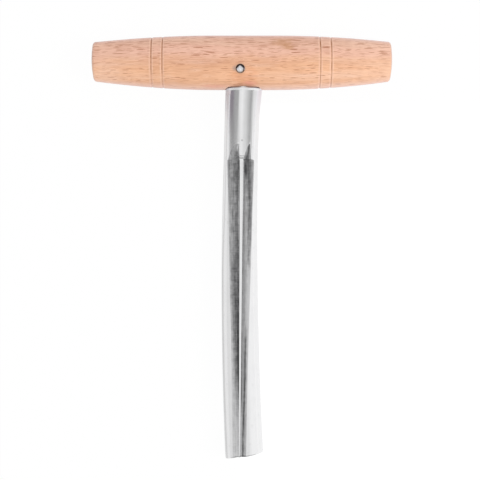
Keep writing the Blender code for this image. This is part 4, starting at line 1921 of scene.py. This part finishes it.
@dataclass
class CutPin:
    """Snipped wire through the handle and the tang, lying low in its hole, with dented, rounded ends.

    An end ring holds its share of the radius, how far it stands back in edges and how dented it is.
    """

    diameter: float = 0.0028
    below_axis: float = 0.003
    aside: float = -0.0005
    slack: float = 0.00024
    hole_sides: int = 64
    sag: float = 0.00008
    lean: float = -0.00008
    narrowing: Trend = Trend(1.0, ((-0.15, 1.15, -0.36),))
    top_lean: float = 0.05
    peening: Trend = Trend(1.09, ((-0.3, 0.7, -0.09),))
    least_height: float = 1.06
    handle_radius: float = 0.00985
    edge: float = 0.0003
    dent: float = 0.00012
    dent_scale: tuple[float, float, float] = (1.9, 1.9, 570.0)
    columns: int = 40
    end_rings: tuple[tuple[float, float, float], ...] = (
        (0.08, -0.02, 1.0),
        (0.30, 0.0, 1.0),
        (0.55, 0.0, 1.0),
        (0.75, 0.05, 1.0),
        (0.88, 0.2, 0.7),
        (0.96, 0.5, 0.4),
        (1.0, 1.0, 0.0),
    )
    finish: CutWire = field(default_factory=CutWire)

    @property
    def middle(self) -> Vector:
        """Middle of the hole in the tool's frame."""
        return Vector((self.aside, -self.below_axis, 0.0))

    @property
    def hole_radius(self) -> float:
        """Radius of the hole that takes the pin."""
        return self.diameter / 2 + self.slack

    @property
    def half_length(self) -> float:
        """Half length that brings the lower edge flush with the belly, front and back."""
        low = self.below_axis + self.diameter / 2
        return math.sqrt(self.handle_radius**2 - low**2)

    def drill(self, piece: bpy.types.Object, reach: float) -> None:
        """Drills the pin's hole through a piece.

        Args:
            piece: Piece to drill.
            reach: How far the drill reaches to the front and to the back.
        """
        depth = Vector((0, 0, reach))
        ends = self.middle - depth, self.middle + depth
        Bench.bore(piece, self.hole_radius, *ends, Axis.THROUGH, self.hole_sides)

    def _section(self, height: float, share: float, dented: float) -> list[Vector]:
        """One ring of the pin, narrower towards the top and peened below.

        Args:
            height: Height of the ring over the handle's axis.
            share: Share of the radius.
            dented: How dented it is.

        Returns:
            The places of its points.
        """
        radius = self.diameter / 2 * share
        outward = math.copysign(1.0, height)
        places = []
        for step in range(self.columns):
            turn = math.tau * step / self.columns
            x, y = math.cos(turn), math.sin(turn)
            peened = self.peening.at(y)
            x = (x * self.narrowing.at(y) + self.top_lean * max(0.0, y)) * peened
            y *= max(peened, self.least_height)
            spot = Vector((x * share, y * share, height)) * Vector(self.dent_scale)
            rise = noise.noise(spot) * self.dent * dented
            place = Vector((x * radius + self.lean, y * radius - self.sag, height + outward * rise))
            places.append(self.middle + place)
        return places

    def build(self, lay: ToolLay) -> bpy.types.Object:
        """Draws the wire out and dresses it.

        Args:
            lay: How the tool lies.

        Returns:
            The finished piece.
        """
        sections = []
        ends = (-self.half_length, self.end_rings), (self.half_length, self.end_rings[::-1])
        for end, rings in ends:
            inward = -math.copysign(self.edge, end)
            for share, low, dented in rings:
                sections.append(self._section(end + inward * low, share, dented))
        piece = Bench.open_ring("cut_pin", self.columns)
        Bench.sweep(piece, sections)
        Bench.smooth(piece)
        piece.data.materials.append(self.finish.material(lay))
        return piece


@dataclass(frozen=True)
class LightTent:
    """Tube of cloth round the tool that only polished surfaces see: dim on its sides, bright overhead.

    A ramp gives the level of the cloth by its angle from straight overhead, in degrees, positive to the
    right. There is one for the cloth beside the seat, one beside the shank and one beside the flutes. The
    steel is bowed, so the places where they change run askew over the cloth.
    """

    radius: float = 0.30
    length: float = 0.80
    sides: int = 96
    height: float = 0.009
    skew: float = 0.00013
    skew_until: float = 35.0
    seat_change: Span = (0.048, 0.064)
    flute_change: Span = (0.0325, 0.0355)
    seat_tint: Colour = (1.0, 0.90, 1.02)
    tint_change: Span = (0.055, 0.066)
    tint_edge: Range = (-66.0, -54.0, 1.0, 0.0)
    by_seat: Ramp = (
        *((-93.0, 0.84), (-91.0, 0.31), (-70.0, 0.28), (-54.0, 0.41), (-28.0, 0.47), (-22.0, 0.93)),
        *((-12.0, 1.0), (0.0, 1.0), (24.0, 0.745), (50.0, 0.48), (61.0, 0.48), (65.0, 0.85)),
        (90.0, 0.90),
    )
    by_shank: Ramp = (
        *((-90.0, 0.93), (-80.0, 0.50), (-58.0, 0.32), (-46.0, 0.44), (-32.0, 0.50), (-6.0, 0.95)),
        *((2.0, 0.96), (14.0, 0.82), (27.0, 0.79), (50.0, 0.45), (58.0, 0.47), (71.0, 0.64)),
        (75.0, 1.02),
    )
    by_flutes: Ramp = (
        *((-100.0, 0.88), (-84.0, 0.855), (-68.0, 0.865), (-58.0, 0.80), (-34.0, 0.80), (-24.0, 0.92)),
        *((-14.0, 0.98), (6.0, 0.98), (24.0, 0.88), (34.0, 0.92), (46.0, 1.03), (60.0, 1.07)),
        (80.0, 1.06),
    )

    @staticmethod
    def _ramp(sheet: NodeSheet, angle: bpy.types.NodeSocket, stops: Ramp) -> bpy.types.NodeSocket:
        """Level of the cloth by angle.

        Args:
            sheet: Sheet of the tent's material.
            angle: Angle from overhead in degrees.
            stops: Pairs of angle and level.

        Returns:
            The level.
        """
        curve = sheet.add("ShaderNodeFloatCurve")
        points = curve.mapping.curves[0].points
        full = 2 * HALF_TURN
        places = [((degrees + HALF_TURN) / full, level / TOP_LEVEL) for degrees, level in stops]
        places = [(0.0, places[0][1]), *places, (1.0, places[-1][1])]
        while len(points) < len(places):
            points.new(0.5, 0.5)
        for point, place in zip(points, places):
            point.location = place
            point.handle_type = "VECTOR"
        curve.mapping.update()
        turned = sheet.math("ADD", angle, HALF_TURN)
        sheet.feed(curve.inputs["Value"], sheet.math("DIVIDE", turned, full))
        return sheet.math("MULTIPLY", curve.outputs["Value"], TOP_LEVEL)

    def _cloth(self) -> bpy.types.Material:
        """Glowing cloth whose level follows the three ramps.

        Returns:
            The material.
        """
        material = bpy.data.materials.new("tent_cloth")
        material.use_nodes = True
        sheet = NodeSheet(material.node_tree)
        material.node_tree.nodes.remove(material.node_tree.nodes["Principled BSDF"])
        x, y, z = sheet.axes(sheet.add("ShaderNodeTexCoord").outputs["Object"])
        turn = sheet.math("ARCTAN2", x, sheet.math("SUBTRACT", z, self.height))
        angle = sheet.math("DEGREES", turn)
        slide = sheet.math("MULTIPLY", sheet.math("MINIMUM", angle, self.skew_until), self.skew)
        along = sheet.math("ADD", y, slide)
        seat, shank, flutes = (
            self._ramp(sheet, angle, stops) for stops in (self.by_seat, self.by_shank, self.by_flutes)
        )
        by_seat = sheet.remap(along, *self.seat_change, 0.0, 1.0)
        by_shank = sheet.remap(along, *self.flute_change, 0.0, 1.0)
        level = sheet.fade(by_shank, flutes, sheet.fade(by_seat, shank, seat))
        tinted = sheet.remap(along, *self.tint_change, 0.0, 1.0)
        tinted = sheet.math("MULTIPLY", sheet.remap(angle, *self.tint_edge), tinted)
        glow = sheet.add("ShaderNodeEmission")
        sheet.feed(glow.inputs["Color"], sheet.mix(tinted, WHITE, self.seat_tint))
        sheet.feed(glow.inputs["Strength"], level)
        surface = material.node_tree.nodes["Material Output"].inputs["Surface"]
        sheet.feed(surface, glow.outputs["Emission"])
        return material

    def build(self) -> bpy.types.Object:
        """Puts the tent up.

        Returns:
            The tent.
        """
        bpy.ops.object.select_all(action="DESELECT")
        bpy.ops.mesh.primitive_circle_add(
            vertices=self.sides,
            radius=self.radius,
            location=(0.0, self.length / 2, self.height),
            rotation=Axis.ALONG.turn,
        )
        tent = bpy.context.object
        tent.name = "light_tent"
        bpy.ops.object.transform_apply(location=True, rotation=True, scale=True)
        bpy.ops.object.mode_set(mode="EDIT")
        bpy.ops.mesh.select_all(action="SELECT")
        bpy.ops.mesh.extrude_region_move(TRANSFORM_OT_translate={"value": (0.0, -self.length, 0.0)})
        bpy.ops.object.mode_set(mode="OBJECT")
        tent.data.materials.append(self._cloth())
        tent.visible_camera = False
        tent.visible_diffuse = False
        tent.visible_shadow = False
        return tent


@dataclass
class Studio:
    """White bench, even white room, one soft lamp, a light tent for the steel and the camera overhead."""

    floor_size: float = 6.0
    floor_drop: float = 0.0002
    floor_colour: Colour = (0.97, 0.97, 0.97)
    camera_glow: float = 0.97
    gloss_glow: float = 0.60
    seat_change: Span = (0.046, 0.058)
    seat_tint: Colour = (1.0, 0.955, 1.03)
    # Levels of the painted light and shadow that polished surfaces see on the bench.
    gloss_left: Span = (0.95, 0.60)
    gloss_right: Span = (1.10, 0.96)
    gloss_right_from: Span = (-0.006, 0.004)
    shadow_strip: float = 0.38
    shadow_strip_place: Span = (-0.0175, -0.031)
    shadow_strip_change: Span = (-0.010, 0.024)
    shadow_strip_edge: Span = (0.001, 0.009)
    room_level: float = 0.80
    lamp_place: Place = (0.45, -0.10, 0.62)
    lamp_size: float = 0.35
    lamp_power: float = 2.1
    camera_place: Place = (-0.0006, 0.0025, 0.55985)
    lens: float = 112.5
    sensor_width: float = 36.0
    tent: LightTent = field(default_factory=LightTent)

    def _bench_paint(self) -> bpy.types.Material:
        """White paint that glows for the camera and, unevenly, for polished surfaces: for them it holds
        painted light and shadow, brighter to the right where the lamp falls, darker to the left and near
        the seat in the handle's shadow, with a painted shadow strip beside the steel.

        Returns:
            The material.
        """
        material = bpy.data.materials.new("white_bench")
        material.use_nodes = True
        sheet = NodeSheet(material.node_tree)
        material.node_tree.nodes.remove(material.node_tree.nodes["Principled BSDF"])
        paint = sheet.add("ShaderNodeBsdfDiffuse")
        sheet.feed(paint.inputs["Color"], (*self.floor_colour, 1.0))
        path = sheet.add("ShaderNodeLightPath").outputs
        seen = sheet.math("MULTIPLY", path["Is Camera Ray"], self.camera_glow)
        mirrored = sheet.math("MAXIMUM", path["Is Glossy Ray"], path["Is Transmission Ray"])
        share = sheet.math("MAXIMUM", seen, sheet.math("MULTIPLY", mirrored, self.gloss_glow))
        across, along, _ = sheet.axes(sheet.add("ShaderNodeTexCoord").outputs["Object"])
        # Painted shadow for polished surfaces: the left of the bench dimmer, dimmest near the seat in the
        # handle's shadow.
        left = sheet.remap(along, *self.seat_change, *self.gloss_left)
        # Painted shadow strip beside the steel, cut from the left level.
        shadow_strip = sheet.away(across, sheet.remap(along, *self.shadow_strip_change, *self.shadow_strip_place))
        shadow_strip = sheet.remap(shadow_strip, *self.shadow_strip_edge, self.shadow_strip, 0.0)
        left = sheet.math("MULTIPLY", left, sheet.math("SUBTRACT", 1.0, shadow_strip))
        # Painted lamp light on the right of the bench, dimmer near the seat.
        right = sheet.remap(along, *self.seat_change, *self.gloss_right)
        lit = sheet.fade(sheet.remap(across, *self.gloss_right_from, 0.0, 1.0), left, right)
        by_seat = sheet.remap(along, *self.seat_change, 0.0, 1.0)
        tinted = sheet.math("MULTIPLY", by_seat, mirrored)
        glow = sheet.add("ShaderNodeEmission")
        sheet.feed(glow.inputs["Color"], sheet.mix(tinted, WHITE, self.seat_tint))
        sheet.feed(glow.inputs["Strength"], sheet.math("MAXIMUM", path["Is Camera Ray"], lit))
        both = sheet.add("ShaderNodeMixShader")
        for index, value in enumerate((share, paint.outputs["BSDF"], glow.outputs["Emission"])):
            sheet.feed(both.inputs[index], value)
        surface = material.node_tree.nodes["Material Output"].inputs["Surface"]
        sheet.feed(surface, both.outputs["Shader"])
        return material

    def floor(self) -> bpy.types.Object:
        """Lays the white bench.

        Returns:
            The floor.
        """
        bpy.ops.object.select_all(action="DESELECT")
        bpy.ops.mesh.primitive_plane_add(size=self.floor_size, location=(0.0, 0.0, -self.floor_drop))
        floor = bpy.context.object
        floor.name = "bench_floor"
        floor.data.materials.append(self._bench_paint())
        return floor

    def room(self) -> None:
        """Fills the room with even white light that the camera and polished surfaces see as white."""
        world = bpy.data.worlds.new("white_room")
        world.use_nodes = True
        sheet = NodeSheet(world.node_tree)
        background = world.node_tree.nodes["Background"]
        sheet.feed(background.inputs["Color"], (*WHITE, 1.0))
        path = sheet.add("ShaderNodeLightPath")
        seen = sheet.math("MAXIMUM", path.outputs["Is Camera Ray"], path.outputs["Is Glossy Ray"])
        seen = sheet.math("MAXIMUM", seen, path.outputs["Is Transmission Ray"])
        level = sheet.math("ADD", self.room_level, sheet.math("MULTIPLY", seen, 1 - self.room_level))
        sheet.feed(background.inputs["Strength"], level)
        bpy.context.scene.world = world

    def lamp(self) -> bpy.types.Object:
        """Hangs the soft lamp above the right of the bench.

        Returns:
            The lamp.
        """
        bpy.ops.object.light_add(type="AREA", location=self.lamp_place)
        lamp = bpy.context.object
        lamp.name = "soft_lamp"
        lamp.data.energy = self.lamp_power
        lamp.data.shape = "DISK"
        lamp.data.size = self.lamp_size
        lamp.rotation_euler = Vector(self.lamp_place).to_track_quat("Z", "Y").to_euler()
        lamp.visible_glossy = False
        return lamp

    def camera(self) -> bpy.types.Object:
        """Hangs the camera straight above the tool.

        Returns:
            The camera.
        """
        bpy.ops.object.camera_add(location=self.camera_place, rotation=(0.0, 0.0, 0.0))
        camera = bpy.context.object
        camera.data.lens = self.lens
        camera.data.sensor_width = self.sensor_width
        bpy.context.scene.camera = camera
        return camera

    def build(self) -> None:
        """Sets the room, bench, lamp, tent and camera up."""
        bpy.context.scene.view_settings.view_transform = "Standard"
        self.room()
        self.floor()
        self.lamp()
        self.tent.build()
        self.camera()


def register(piece: bpy.types.Object, node: str) -> None:
    """Ties a piece to the part.

    Args:
        piece: The finished piece.
        node: CAD node that it stands for.
    """
    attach(piece, BODY)
    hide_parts(node)
    log.info("%s: %d faces, stands for %s", piece.name, len(piece.data.polygons), node)


def tool_lay(handle: TurnedHandle, steel: FlutedSteel) -> ToolLay:
    """Works out how the tool lies on its belly and tip.

    Args:
        handle: The handle.
        steel: The steel.

    Returns:
        The place of the handle's middle and the dip of the steel.
    """
    low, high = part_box("handle")
    radius = steel.radius(steel.bearing)
    tilt = math.asin(handle.radius / math.hypot(steel.bearing, radius))
    tilt -= math.atan2(radius, steel.bearing)
    return ToolLay((0.0, (low[1] + high[1]) / 2, handle.radius), tilt)


def main() -> None:
    """Builds and dresses every piece, then the studio."""
    logging.basicConfig(level=logging.INFO, format="%(name)s: %(message)s")
    handle = TurnedHandle()
    steel = FlutedSteel(shoulder=handle.radius - handle.seat_depth + FIT_GAP)
    pin = CutPin(handle_radius=handle.radius)
    lay = tool_lay(handle, steel)
    made = (
        (handle.build(steel, pin, lay), "handle", "beech"),
        (steel.build(pin, lay), "reamer", "ground_steel"),
        (pin.build(lay), "cross_pin", "pin_steel"),
    )
    for piece, node, slot in made:
        lay.settle(piece)
        register(piece, node)
    Studio().build()


if __name__ == "__main__":
    main()
